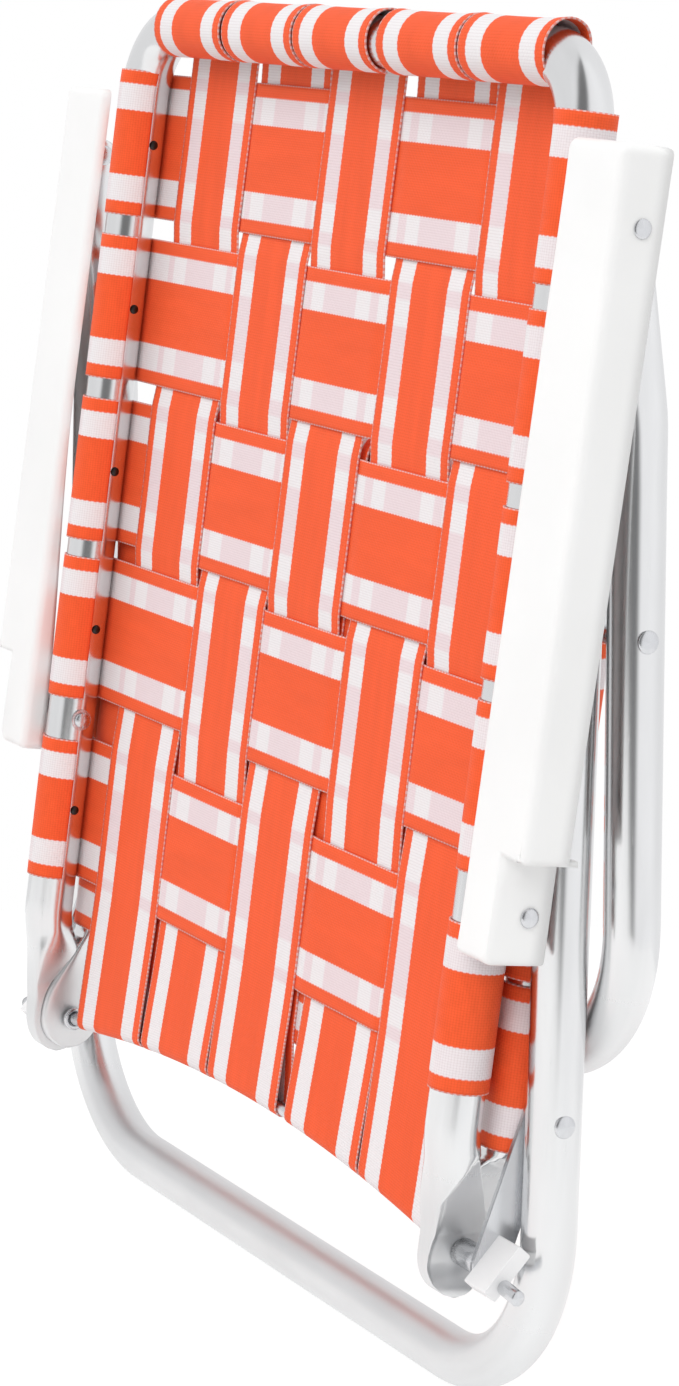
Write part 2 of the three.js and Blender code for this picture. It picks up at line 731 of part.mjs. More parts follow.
for (const [side, s] of [['left', -1], ['right', 1]]) {
  const shank = BOLT_D / 2;
  const head = HEAD_D / 2;
  add(`arm_${side}`, arm(s), plastic);
  add(`swing_link_${side}`, swingLink(s), steel);
  add(`rod_spacer_${side}`, sleeve(rod, s * (paddleOut + CLEAR), s * (linkIn - BLOCK_IN - CLEAR),
    ROD_SLEEVE_D / 2, rodR + CLEAR), steel);
  add(`arm_spacer_${side}`, sleeve(armBolt, s * (backX + R + CLEAR), s * (tongueOut - ARM_WALL - CLEAR),
    SLEEVE_D / 2, shank + CLEAR), steel);
  add(`arm_bolt_${side}`, turned(armBolt, [
    [s * (backX - R - 3.5), shank],
    ...dome(s * (tongueOut + CLEAR), s, shank).slice(0, 1),
    ...dome(s * (tongueOut + CLEAR), s, head),
  ]), steel);
  add(`seat_spacer_${side}`, sleeve(seatBolt, s * (backX + R + CLEAR), s * (frontX - R - CLEAR),
    SLEEVE_D / 2, shank + CLEAR), steel);
  add(`seat_bolt_${side}`, turned(seatBolt, [
    [s * (backX - R - 3.5), shank],
    [s * (frontX + R + CLEAR), shank],
    [s * (frontX + R + CLEAR), head * 0.75],
    [s * (frontX + R + 1.8), head * 0.6],
    [s * (frontX + R + 2.4), head * 0.25],
  ]), steel);
  add(`leg_pin_${side}`, turned(legPin, [
    [s * (rearX + R - TAB_T - 2.4), head * 0.5],
    [s * (rearX + R - TAB_T - CLEAR), head * 0.7],
    [s * (rearX + R - TAB_T - CLEAR), shank],
    [s * (frontX + R - 0.4), shank],
  ]), steel);
  add(`arm_rivet_${side}`, turned(legPin, [
    [s * (armOut - ARM_WALL), shank],
    [s * (armOut + CLEAR), shank],
    ...dome(s * (armOut + CLEAR), s, head),
  ]), steel);
  add(`leg_rivet_${side}`, turned(linkPin, [
    [s * (rearX - R + LEG_DENT + 0.2), shank],
    [s * (rearX + R + CLEAR), shank],
    ...dome(s * (rearX + R + CLEAR), s, head * 0.85),
  ]), steel);
  add(`link_rivet_${side}`, turned(linkPin, [
    [s * linkIn, shank],
    [s * (linkIn + LINK_T), shank],
  ]), steel);
}

const count = LONG_CENTRES.length;
const over = (i, j) => ((i + j) % 2 === 0 ? 0 : 1);

BACK_CROSS_RISES.forEach((rise, j) => {
  const levels = LONG_CENTRES.map((c, i) => 1 - over(i, j));
  const end = rise + WEB_W / 2 > BACK_LENGTH - CORNER_R ? CORNER_WRAP_END : WRAP_END;
  add(`back_cross_web_${j + 1}`, punched(crossWeb(rodZ + rise, 0, 1, levels, end), armBolt), orange);
});

SEAT_CROSS_RISES.forEach((rise, j) => {
  const levels = LONG_CENTRES.map((c, i) => 1 - over(i, j + 1));
  const web = crossWeb(rodZ + rise, SEAT_DEPTH, -1, levels, WRAP_END);
  add(`seat_cross_web_${j + 1}`, punched(web, seatBolt), orange);
});

LONG_CENTRES.forEach((x, i) => {
  const end = i === 0 || i === count - 1 ? CORNER_WRAP_END : WRAP_END;
  const backLevels = BACK_CROSS_RISES.map((c, j) => over(i, j));
  const seatLevels = SEAT_CROSS_RISES.map((c, j) => over(i, j + 1));
  add(`back_long_web_${i + 1}`, backLongWeb(x, backLevels, end), orange);
  add(`seat_long_web_${i + 1}`, seatLongWeb(x, seatLevels, end), orange);
});

export default chair;
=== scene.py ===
"""Folding webbed lawn chair, folded flat and standing on its rear foot bar.

Polished tube frames, a hinge rod with swing links, white moulded arms and striped webbing.
Shapes are worked out in millimetres as (across, depth from the back tubes' axes, height) and
put into metres in the shared frame at the end.
"""

import bmesh
import bpy
import numpy as np
from mathutils import Matrix


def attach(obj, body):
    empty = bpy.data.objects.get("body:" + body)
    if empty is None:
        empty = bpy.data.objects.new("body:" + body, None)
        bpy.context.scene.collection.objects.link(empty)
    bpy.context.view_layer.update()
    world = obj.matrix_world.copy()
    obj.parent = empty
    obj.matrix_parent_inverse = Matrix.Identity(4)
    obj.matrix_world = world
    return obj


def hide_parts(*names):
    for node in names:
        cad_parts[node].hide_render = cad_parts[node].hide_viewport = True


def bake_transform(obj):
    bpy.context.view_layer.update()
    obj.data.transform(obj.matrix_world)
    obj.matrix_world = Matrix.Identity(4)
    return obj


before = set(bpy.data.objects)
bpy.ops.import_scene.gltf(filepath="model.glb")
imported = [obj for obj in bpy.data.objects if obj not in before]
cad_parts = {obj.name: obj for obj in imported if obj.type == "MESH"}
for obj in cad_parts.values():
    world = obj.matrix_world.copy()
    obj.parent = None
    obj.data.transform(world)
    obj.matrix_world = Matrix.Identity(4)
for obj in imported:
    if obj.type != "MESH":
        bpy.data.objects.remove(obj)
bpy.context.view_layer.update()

# Tube stock and bends, mm
TUBE_R = 12.7
CORNER_R = 36.0
REAR_BEND_R = 86.0
FRONT_BEND_R = 70.0
KNEE_R = 120.0
FOOT_FLAT = 0.4

# Places of the tubes, pins and rod, mm
BACK_X = 226.0
REAR_X = 253.5
FRONT_X = 272.0
ROD = (16.0, 78.3)
ARM_BOLT = (0.0, 242.3)
LEG_PIN = (-3.5, 542.3)
SEAT_BOLT = (31.5, 365.3)
LINK_PIN = (34.0, 153.3)
TOP_BAR_Z = 612.3
FRONT_BAR_Z = 412.3
SEAT_Y = 31.5
REAR_SLOPE = 0.1087
FRONT_SLOPE = 0.144
FRONT_FOOT_Z = 170.3
FRONT_FOOT_Y = SEAT_Y + FRONT_SLOPE * (SEAT_BOLT[1] - FRONT_FOOT_Z)
REAR_FOOT_Z = TUBE_R - FOOT_FLAT
KNEE_Z = LEG_PIN[1] - 80.0

# Crushed tube ends, mm
PADDLE_R = 17.0
SEAT_PADDLE_T = 3.5
BACK_PADDLE_T = 5.0
BACK_PADDLE_Y = 10.5
BACK_PADDLE_R = 15.8
BACK_PADDLE_END = 19.5
PADDLE_GAP = 0.4
TAB_R = 8.5
TAB_T = 5.0
LEG_DENT = 2.4
PRESS_SOFT = 2.4
SHELL_SLOPE = 1.2
TIP = 0.02

# Crushed ends by height over the rod: where forms start and run out, mm
BACK_WIDE_RUN = (4.0, 46.0)
BACK_FLAT_RUN = (20.0, 50.0)
BACK_SQUARE_RUN = (8.0, 46.0)
HOLLOW_RUN = (8.0, 43.0)
HOLLOW_TIP = (5.0, 18.0)
HOLLOW_FLOOR = 3.0
SHELL_Z = (-6.0, 0.0, 27.5, 43.4, 54.0)
SHELL_EDGE = (-11.0, -10.7, -5.0, 11.2, 34.0)
SEAT_WIDE_RUN = (0.0, 49.0)
SEAT_FLAT_RUN = (20.0, 54.0)

# Squareness of a ring: 2 is round, more is squarer
ROUND = 2.0

# Spacing of a tube's rings near its ends, the length of that, and the spacing between, mm
END_STEP = 1.0
END_LENGTH = 60.0
MIDDLE_STEP = 2.5

# Webbing, mm, and its wraps' ends in degrees
WEB_W = 76.2
WEB_T = 0.9
WEB_GAP = 0.4
WEAVE = 1.25
WRAP_END = 268.0
ROLL_END = 290.0
ROLL_SWELL = (1.8, 0.9)
ROLL_LEAN = 6.0
LOW_DRIFT = 2.0
LOW_DRIFT_RISE = 340.0
BOW_RISE = 70.0
BACK_CROSS_Z = ROD[1] + np.array([472.6, 385.7, 298.8, 213.4, 114.5])
SEAT_CROSS_Z = ROD[1] + np.array([87.5, 165.8, 244.0])
LONG_X = np.array([-161.3, -81.2, -2.8, 83.8, 162.2])
WEB_R = TUBE_R + WEB_GAP + WEB_T / 2
CROSS_HALF = WEB_W / 2 + 0.2
STRIPES = (0.095, 0.277, 0.723, 0.905)

# Rod, pins and sleeves, mm
ROD_R = 3.5
ROD_REACH = 274.0
ROD_SPAN = 211.0
ROD_BOW = 17.0
ROD_DROOP = 0.1
ROD_BEVEL = 0.7
SHANK_R = 3.0
SLEEVE_R = 4.0
ROD_SLEEVE_R = 6.5
WASHER_R = 6.2
WASHER_X = (-3.8, -1.5)
BOLT_WASHER_R = 5.6
BOLT_WASHER_X = (-1.0, -0.2)
BEVEL = 0.5
CLEAR = 0.3
SCREW_R = 2.5
SCREW_DEPTH = 2.6

# Heads: radius, height, and shift off the pin's axis in depth and in height, mm
INNER_HEAD = (4.2, 2.6, 0.0, 0.0)
ARM_HEAD = (4.6, 2.4, -2.0, 0.0)
SEAT_HEAD = (5.25, 2.4, -1.7, 2.3)
PIN_HEAD = (5.25, 2.1, 0.0, 0.0)
RIVET_HEAD = (4.4, 1.6, 0.0, 0.0)
LEG_HEAD = (5.25, 2.2, -0.9, -5.6)

# Arms, mm
ARM_IN = 241.0
ARM_OUT = 288.6
TONGUE_OUT = 269.6
ARM_WALL = 2.6
ARM_Z = (268.3, 577.3)
TONGUE_Z = 220.3
ARM_TOP = (-20.4, -17.3)
ARM_SKIRT = (2.6, 7.3)
TONGUE_SKIRT = 8.5
ARM_EDGE = 4.5
LIP_DROP = 8.0
LIP_RUN = (230.0, 420.0)

# Swing links, mm and degrees
LINK_IN = 240.2
LINK_T = 2.7
LINK_W = 18.0
LINK_SHIFT = 2.5
BLOCK_X = (242.7, 261.0)
BLOCK_T = 8.0
BLOCK_LENGTH = 26.0
BLOCK_LEAN = 36.0

# Half size of the floor, mm
FLOOR = 850.0

# Brightness of the surround that metal mirrors, by share of a turn about the vertical
WALLS = (
    (0.0, 0.88), (0.22, 0.85), (0.27, 0.92), (0.30, 0.85), (0.33, 0.2),
    (0.425, 0.2), (0.465, 1.0), (0.62, 1.05), (0.72, 0.95), (1.0, 0.88),
)
SKY = 0.62

# Lamps: place and size in m, power in W, and what they face
LAMPS = (
    ("key", (1.6, -2.2, 2.4), 2.2, 48.0),
    ("fill", (-2.4, -1.6, 1.8), 2.4, 23.0),
    ("back_light", (1.2, 2.4, 2.6), 2.0, 26.0),
)
LAMP_AIM = (0.0, 0.0, 0.3)

# Camera at the photograph's place: lens and sensor in mm, place in m, its right, up and backward axes
LENS = 104.94
SENSOR = 36.0
EYE = (1.7376, -0.93654, 0.552)
EYE_AXES = ((0.4614, 0.8784, 0.1249), (-0.1719, -0.0496, 0.9839), (0.8704, -0.4754, 0.1281))

# Colours, and what marks add to a metal's roughness
ORANGE = (0.98, 0.125, 0.036)
WHITE = (0.88, 0.85, 0.86)
# painted glow: the white stripes' pink where orange web lies behind them, standing in for light that comes
# through that web
PAINTED_GLOW_PINK = (0.85, 0.72, 0.745)
ARM_WHITE = ((0.92, 0.92, 0.915), (0.96, 0.96, 0.955))
CLOUD_SHADE = 0.93
RUB_ROUGH = 0.12
SCUFF_ROUGH = 0.24

# The shared frame: depth is shifted so that the folded chair stands centred
SHIFT_Y = -25.94
MM = 0.001
SIDES = (("left", -1), ("right", 1))


def to_frame(points):
    """Millimetre points (across, depth, height) as metres in the shared frame."""
    return (np.asarray(points, float) + (0.0, SHIFT_Y, 0.0)) * MM


def smoothstep(x, low, high):
    """3t^2 - 2t^3 with t running from 0 at low to 1 at high."""
    t = np.clip((np.asarray(x, float) - low) / (high - low), 0.0, 1.0)
    return t * t * (3.0 - 2.0 * t)


def mix(a, b, t):
    """Straight blend from a to b."""
    return a + (b - a) * t


def unit(v):
    """Rows of v scaled to length 1."""
    return v / np.maximum(np.linalg.norm(v, axis=-1, keepdims=True), 1e-12)


def distance_along(line):
    """Distance along a line at each of its points."""
    return np.concatenate([[0.0], np.cumsum(np.linalg.norm(np.diff(line, axis=0), axis=1))])


def points_at(line, at, where):
    """Points at distances where on a line whose own points lie at distances at."""
    return np.stack([np.interp(where, at, c) for c in line.T], axis=1)


def uv_grid(across, along):
    """UV of a grid from one U per column and one V per row."""
    return np.stack(np.broadcast_arrays(across[None, :], along[:, None]), axis=-1)


# Meshes


def grid_faces(rows, cols):
    """Corner indices of the quads of a rows x cols grid of points."""
    i, j = np.meshgrid(np.arange(rows - 1), np.arange(cols - 1), indexing="ij")
    a = (i * cols + j).ravel()
    return np.stack([a, a + 1, a + 1 + cols, a + cols], axis=1)


def surface(name, grids, material, body, uvs=None, marks=None, closed=True):
    """One mesh from grids of points (rows, cols, 3) in mm.

    Seam columns and pole rows are given twice and welded here. uvs holds one (rows, cols, 2)
    array per grid, and marks holds named (rows, cols) values per grid for the materials.
    """
    verts, faces, corners, start = [], [], [], 0
    for k, grid in enumerate(grids):
        rows, cols = grid.shape[:2]
        quads = grid_faces(rows, cols)
        verts.append(to_frame(grid).reshape(-1, 3))
        faces.append(quads + start)
        if uvs is not None:
            corners.append(uvs[k].reshape(-1, 2)[quads.ravel()])
        start += rows * cols
    mesh = bpy.data.meshes.new(name)
    mesh.from_pydata(np.concatenate(verts).tolist(), [], np.concatenate(faces).tolist())
    if uvs is not None:
        layer = mesh.uv_layers.new(name="UVMap")
        layer.data.foreach_set("uv", np.concatenate(corners).astype(np.float32).ravel())
    for mark, values in (marks or {}).items():
        data = mesh.attributes.new(mark, "FLOAT", "POINT").data
        data.foreach_set("value", np.concatenate([v.ravel() for v in values]).astype(np.float32))
    bm = bmesh.new()
    bm.from_mesh(mesh)
    bmesh.ops.remove_doubles(bm, verts=bm.verts, dist=2e-6)
    if closed:
        bmesh.ops.recalc_face_normals(bm, faces=bm.faces)
    bm.to_mesh(mesh)
    bm.free()
    mesh.polygons.foreach_set("use_smooth", np.ones(len(mesh.polygons), bool))
    piece = bpy.data.objects.new(name, mesh)
    bpy.context.scene.collection.objects.link(piece)
    mesh.materials.append(material)
    if body:
        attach(piece, body)
    return piece


def round_corners(corners, radii, spacing=3.0):
    """Line through corner points with each corner rounded by its radius, points about spacing apart.

    A corner between directions a and b is an arc with its centre on their bisector, at
    radius / sin(half angle).
    """
    corners = np.asarray(corners, float)
    out = [corners[:1]]
    for k in range(1, len(corners) - 1):
        a = unit(corners[k - 1] - corners[k])
        b = unit(corners[k + 1] - corners[k])
        half = np.arccos(np.clip(a @ b, -1.0, 1.0)) / 2
        r = radii[k]
        if r <= 0:
            out.append(corners[k : k + 1])
            continue
        centre = corners[k] + unit(a + b) * r / np.sin(half)
        start = corners[k] + a * r / np.tan(half) - centre
        turn = np.pi - 2 * half
        axis = unit(np.cross(a, b))
        side = np.cross(-axis, start)
        angle = np.linspace(0.0, turn, max(4, int(r * turn / spacing) + 1))[:, None]
        out.append(centre + start * np.cos(angle) + side * np.sin(angle))
    out.append(corners[-1:])
    return resample(np.concatenate(out), spacing)


def resample(line, spacing):
    """Points along a line about spacing apart, with the line's own points kept."""
    step = np.linalg.norm(np.diff(line, axis=0), axis=1)
    line = line[np.concatenate([[True], step > 1e-6])]
    step = step[step > 1e-6]
    at = np.concatenate([[0.0], np.cumsum(step)])
    extra = np.arange(0.0, at[-1], spacing)
    near = np.min(np.abs(extra[:, None] - at[None, :]), axis=1)
    where = np.sort(np.concatenate([at, extra[near > spacing * 0.4]]))
    return points_at(line, at, where)


def thin_middle(line, length, spacing):
    """Line with all its points kept over a length at both ends, and one per spacing between them."""
    at = distance_along(line)
    middle = (at >= length) & (at <= at[-1] - length)
    fresh = np.concatenate([[True], np.diff(np.floor(at / spacing)) > 0])
    return line[~middle | fresh]


def soft_min(a, b, soft):
    """Smaller of a and b, with the crease between them rounded over a soft width."""
    near = np.clip(1.0 - np.abs(a - b) / soft, 0.0, 1.0)
    return np.minimum(a, b) - soft * near * near / 4


def tube(name, path, form, material, body, foot, sides=72):
    """Tube carried along a bent path: ring = centre + U hu cos(a) + N hv sin(a), pressed between two planes.

    U lies across the path in the bend's plane and N stands on it. form(points) gives, for every
    point of the path, the half thickness hu, the half width hv, the outward shift in X, the squareness
    of the ring's inner and outer halves, the outward distances of the planes that it is pressed between,
    and the depth from its axis where the outer press ends: nearer than that the press rises by
    SHELL_SLOPE and leaves a round shell.
    foot is the height of the foot bar, which is scuffed dull, or of the pressed end, which is left dull.
    """
    tangent = unit(np.gradient(path, axis=0))
    bend = unit(np.cross(path[len(path) // 2] - path[0], (1.0, 0.0, 0.0)))
    rail = np.cross(tangent, (1.0, 0.0, 0.0))
    rail = rail * np.sign(rail @ bend + 1e-9)[:, None]
    share = smoothstep(np.linalg.norm(rail, axis=1), 0.85, 0.999)[:, None]
    normal = unit(mix(np.broadcast_to(bend, rail.shape), unit(rail), share))
    across = unit(np.cross(normal, tangent))
    outward = (np.sign(path[:, 0]) * np.sign(across[:, 0] + 1e-9))[:, None]
    hu, hv, off, square, low, high, shell = form(path)
    a = np.linspace(0.0, 2 * np.pi, sides + 1)
    inside = np.cos(a)[None, :] * outward < 0
    power = 2.0 / np.where(inside, square[0][:, None], square[1][:, None])
    c = np.sign(np.cos(a)) * np.abs(np.cos(a)) ** power
    s = np.sign(np.sin(a)) * np.abs(np.sin(a)) ** power
    nearer = np.clip(shell[:, None] - (normal[:, 1] * hv)[:, None] * s, 0.0, None)
    reach = soft_min(outward * hu[:, None] * c, high[:, None] + SHELL_SLOPE * nearer, PRESS_SOFT)
    reach = -soft_min(-reach, -low[:, None], PRESS_SOFT) * outward
    centre = path + np.stack([np.sign(path[:, 0]) * off, 0 * off, 0 * off], axis=1)
    grid = centre[:, None, :] + across[:, None, :] * reach[..., None]
    grid = grid + normal[:, None, :] * (hv[:, None] * s)[..., None]
    grid[..., 2] = np.maximum(grid[..., 2], 0.0)
    ends = [np.broadcast_to(grid[k].mean(axis=0), grid[k].shape)[None] for k in (0, -1)]
    grid = np.concatenate([ends[0], grid, ends[1]])
    length = distance_along(path) * MM
    uv = uv_grid(a / (2 * np.pi), np.concatenate([length[:1], length, length[-1:]]))
    scuff = 1 - smoothstep(grid[..., 2], foot + TUBE_R, foot + 4 * TUBE_R)
    return surface(name, [grid], material, body, uvs=[uv], marks={"scuff": [scuff]})


def ring_grid(at, stations, sides=32, lift=0.0):
    """Grid of a round shape along X through at = (depth, height): each station is (x, radius).

    lift is the stations' own height over the straight axis.
    """
    x, r = np.array(stations, float).T
    a = np.linspace(0.0, 2 * np.pi, sides + 1)
    y = at[0] + r[:, None] * np.cos(a)
    z = at[1] + lift + r[:, None] * np.sin(a)
    grid = np.stack([np.broadcast_to(x[:, None], y.shape), y, z], axis=-1)
    return grid, uv_grid(a / (2 * np.pi), x * MM)


def turned(name, rounds, material, body):
    """Piece of round shapes along X, each given as (at, stations)."""
    grids, uvs = zip(*[ring_grid(at, stations) for at, stations in rounds])
    return surface(name, list(grids), material, body, uvs=list(uvs))


def dome(x, side, radius, height, steps=9):
    """Stations of a closed rivet head: its seat, a low rim, then a quarter ellipse up to its crown."""
    t = np.linspace(0.0, np.pi / 2, steps)
    rim = [(x, 0.0), (x, radius * 0.94), (x + side * 0.2 * height, radius)]
    top = zip(x + side * height * (0.2 + 0.8 * np.sin(t)), radius * np.cos(t))
    return rim + [(float(px), float(max(pr, 0.0))) for px, pr in top]


# Materials


def new_group(name, inputs, outputs):
    """Shader node group with named float inputs (defaults) and outputs (types)."""
    group = bpy.data.node_groups.new(name, "ShaderNodeTree")
    for label, value in inputs.items():
        kind = "NodeSocketVector" if value is None else "NodeSocketFloat"
        socket = group.interface.new_socket(label, in_out="INPUT", socket_type=kind)
        if value is not None:
            socket.default_value = value
    for label, kind in outputs.items():
        group.interface.new_socket(label, in_out="OUTPUT", socket_type=kind)
    return group, group.nodes.new("NodeGroupInput"), group.nodes.new("NodeGroupOutput")


def add(tree, kind, settings=None, **inputs):
    """New node with its settings and its inputs, which are sockets to link or values."""
    node = tree.nodes.new(kind)
    for key, value in (settings or {}).items():
        setattr(node, key, value)
    for key, value in inputs.items():
        socket = node.inputs[int(key[1:])] if key[0] == "i" and key[1:].isdigit() else node.inputs[key]
        if isinstance(value, bpy.types.NodeSocket):
            tree.links.new(value, socket)
        else:
            socket.default_value = value
    return node


def maths(tree, operation, a, b=0.0, c=0.0):
    """Math node's result."""
    return add(tree, "ShaderNodeMath", {"operation": operation}, i0=a, i1=b, i2=c).outputs[0]


def ramp(tree, value, stops):
    """Colour ramp over (position, colour) stops."""
    node = add(tree, "ShaderNodeValToRGB", Fac=value)
    elements = node.color_ramp.elements
    while len(elements) < len(stops):
        elements.new(1.0)
    for element, (position, colour) in zip(elements, stops):
        element.position = position
        element.color = (*colour, 1.0)
    return node.outputs["Color"]


def draw_marks_group():
    """Marks of drawn and polished metal: fine lines along the length, soft clouds and rare rubs."""
    group, inlet, outlet = new_group(
        "draw_marks",
        {"Vector": None, "Lines": 260.0, "Run": 3.0},
        {"Streak": "NodeSocketFloat", "Cloud": "NodeSocketFloat", "Rub": "NodeSocketFloat"},
    )

    def noise(scale, **settings):
        scaled = add(group, "ShaderNodeVectorMath", {"operation": "MULTIPLY"},
                     i0=inlet.outputs["Vector"], i1=scale)
        made = add(group, "ShaderNodeTexNoise", Vector=scaled.outputs[0], Scale=1.0, **settings)
        return made.outputs["Fac"]

    stretch = add(group, "ShaderNodeCombineXYZ", X=inlet.outputs["Lines"], Y=inlet.outputs["Run"], Z=1.0)
    group.links.new(noise(stretch.outputs[0], Detail=2.0), outlet.inputs["Streak"])
    group.links.new(noise((6.0, 14.0, 1.0), Detail=3.0), outlet.inputs["Cloud"])
    rubs = noise((40.0, 22.0, 1.0), Detail=5.0, Roughness=0.7)
    marked = add(group, "ShaderNodeMapRange", Value=rubs, **{"From Min": 0.6, "From Max": 0.74})
    group.links.new(marked.outputs[0], outlet.inputs["Rub"])
    return group


def material(name):
    """Empty node material with its Principled BSDF."""
    made = bpy.data.materials.new(name)
    made.use_nodes = True
    return made, made.node_tree, made.node_tree.nodes["Principled BSDF"]


def cloud_ramp(tree, cloud, low, high):
    """Colour that wanders between low and high with a cloud noise."""
    return ramp(tree, cloud, [(0.3, low), (0.7, high)])


def blend_colours(tree, share, low, high, way="MIX"):
    """Colour between low and high, each a socket or (r, g, b, 1), by a share."""
    settings = {"data_type": "RGBA", "blend_type": way}
    return add(tree, "ShaderNodeMix", settings, Factor=share, i6=low, i7=high).outputs[2]


def dress(tree, shader, colour, rough, height, strength, distance):
    """Colour, roughness and fine relief led to a material's shader."""
    bump = add(tree, "ShaderNodeBump", Height=height, Strength=strength, Distance=distance)
    for socket, value in (("Base Color", colour), ("Roughness", rough), ("Normal", bump.outputs[0])):
        tree.links.new(value, shader.inputs[socket])


def metal(name, group, colour, roughness, vary, streaks, lines, metallic=1.0):
    """Bare or coated metal whose roughness and fine relief follow the draw marks along its UV length."""
    made, tree, shader = material(name)
    uv = add(tree, "ShaderNodeUVMap", {"uv_map": "UVMap"}).outputs[0]
    marks = add(tree, "ShaderNodeGroup", {"node_tree": group}, Vector=uv, Lines=lines)
    shade = cloud_ramp(tree, marks.outputs["Cloud"], [c * CLOUD_SHADE for c in colour], colour)
    rough = maths(tree, "MULTIPLY_ADD", marks.outputs["Streak"], vary, roughness - vary / 2)
    rough = maths(tree, "MULTIPLY_ADD", marks.outputs["Rub"], RUB_ROUGH, rough)
    scuff = add(tree, "ShaderNodeAttribute", {"attribute_name": "scuff"}).outputs["Fac"]
    rough = maths(tree, "MULTIPLY_ADD", scuff, SCUFF_ROUGH, rough)
    dress(tree, shader, shade, rough, marks.outputs["Streak"], streaks, 0.0002)
    shader.inputs["Metallic"].default_value = metallic
    return made


def yarn_group():
    """Plain weave of flat yarns: u runs half a turn per yarn across the web, v per pick along it.

    Height = over-and-under product of two cosines, plus the ribs of picks and yarns. Gap is low between
    yarns, and Step changes sign from pick to pick.
    """
    group, inlet, outlet = new_group(
        "yarn_weave",
        {"Vector": None, "Yarns": 64.0, "Picks": 720.0},
        {"Height": "NodeSocketFloat", "Gap": "NodeSocketFloat", "Step": "NodeSocketFloat"},
    )
    parts = add(group, "ShaderNodeSeparateXYZ", Vector=inlet.outputs["Vector"])
    u, v = [
        maths(group, "MULTIPLY", maths(group, "MULTIPLY", parts.outputs[axis], inlet.outputs[count]), np.pi)
        for axis, count in (("X", "Yarns"), ("Y", "Picks"))
    ]
    cross = maths(group, "MULTIPLY", maths(group, "COSINE", u), maths(group, "COSINE", v))
    wave = maths(group, "SINE", v)
    rib = maths(group, "ABSOLUTE", wave)
    wale = maths(group, "ABSOLUTE", maths(group, "SINE", u))
    ribs = maths(group, "MULTIPLY_ADD", rib, 0.4, maths(group, "MULTIPLY", wale, 0.3))
    height = maths(group, "MULTIPLY_ADD", cross, 0.35, ribs)
    gap = maths(group, "MULTIPLY", maths(group, "POWER", rib, 0.4), maths(group, "POWER", wale, 0.4))
    step = maths(group, "SIGN", wave)
    for label, value in (("Height", height), ("Gap", gap), ("Step", step)):
        group.links.new(value, outlet.inputs[label])
    return group


def webbing_material(weave):
    """Orange web with two white stripes: the stripes follow U, painted pink where another web lies behind as
    light through it, with painted shade between yarns.
    """
    made, tree, shader = material("striped_webbing")
    uv = add(tree, "ShaderNodeUVMap", {"uv_map": "UVMap"}).outputs[0]
    yarns = add(tree, "ShaderNodeGroup", {"node_tree": weave}, Vector=uv)
    parts = add(tree, "ShaderNodeSeparateXYZ", Vector=uv)
    stepped = maths(tree, "MULTIPLY_ADD", yarns.outputs["Step"], 0.0015, parts.outputs["X"])
    edge = 0.004
    stops = [(0.0, (0, 0, 0))]
    for k, at in enumerate(STRIPES):
        low, high = ((0, 0, 0), (1, 1, 1)) if k % 2 == 0 else ((1, 1, 1), (0, 0, 0))
        stops += [(at - edge, low), (at + edge, high)]
    stripe = ramp(tree, stepped, stops)
    rim = maths(tree, "ABSOLUTE", maths(tree, "SUBTRACT", parts.outputs["X"], 0.5))
    rim = maths(tree, "GREATER_THAN", rim, 0.492)
    dash = maths(tree, "MULTIPLY_ADD", yarns.outputs["Step"], 0.2, 0.45)
    rim = maths(tree, "MULTIPLY", rim, dash)
    stripe = maths(tree, "MAXIMUM", stripe, rim)
    # painted glow: the white stripes turn pink where orange web lies behind them, for light coming through it
    behind = add(tree, "ShaderNodeAttribute", {"attribute_name": "behind"}).outputs["Fac"]
    pale = blend_colours(tree, behind, (*WHITE, 1.0), (*PAINTED_GLOW_PINK, 1.0))
    spot = add(tree, "ShaderNodeTexNoise", Scale=9.0, Detail=2.0)
    cloth = cloud_ramp(tree, spot.outputs["Fac"], [c * CLOUD_SHADE for c in ORANGE], ORANGE)
    both = blend_colours(tree, stripe, cloth, pale)
    # painted shade: the colour is darkened in the gaps between yarns, where shade falls in the weave
    shade = ramp(tree, yarns.outputs["Gap"], [(0.0, (0.84, 0.80, 0.80)), (0.75, (1, 1, 1))])
    dark = blend_colours(tree, 1.0, both, shade, "MULTIPLY")
    rough = maths(tree, "MULTIPLY_ADD", yarns.outputs["Gap"], -0.18, 0.72)
    dress(tree, shader, dark, rough, yarns.outputs["Height"], 0.35, 0.0004)
    shader.inputs["Sheen Weight"].default_value = 0.03
    shader.inputs["Specular IOR Level"].default_value = 0.15
    return made


def arm_material():
    """White moulded plastic with a faint orange-peel skin and slightly duller, greyer handled zones."""
    made, tree, shader = material("moulded_white")
    where = add(tree, "ShaderNodeTexCoord").outputs["Object"]
    peel = add(tree, "ShaderNodeTexNoise", Vector=where, Scale=900.0, Detail=2.0)
    hand = add(tree, "ShaderNodeTexNoise", Vector=where, Scale=14.0, Detail=4.0)
    shade = cloud_ramp(tree, hand.outputs["Fac"], *ARM_WHITE)
    rough = maths(tree, "MULTIPLY_ADD", hand.outputs["Fac"], 0.16, 0.32)
    dress(tree, shader, shade, rough, peel.outputs["Fac"], 0.08, 0.0002)
    return made


draw_marks = draw_marks_group()
polished = metal("polished_aluminium", draw_marks, (0.81, 0.815, 0.82), 0.2, 0.08, 0.03, 260.0)
zinc = metal("zinc_steel", draw_marks, (0.7, 0.71, 0.73), 0.26, 0.16, 0.10, 120.0)
plated = metal("bright_plate", draw_marks, (0.94, 0.94, 0.945), 0.5, 0.1, 0.05, 120.0, 0.2)
# painted shade: the screws are coloured near black for the shade in the screw holes
hole_shade_black = metal("screw_hole_shade_black", draw_marks, (0.05, 0.048, 0.046), 0.35, 0.1, 0.1, 120.0)
webbing = webbing_material(yarn_group())
moulded = arm_material()


# Frames


def rounded_end(past, radius):
    """Half width of an end rounded off past its centre: radius * sqrt(1 - (past / radius)^2)."""
    return radius * np.sqrt(np.clip(1.0 - (past / radius) ** 2, 0.0, 1.0))


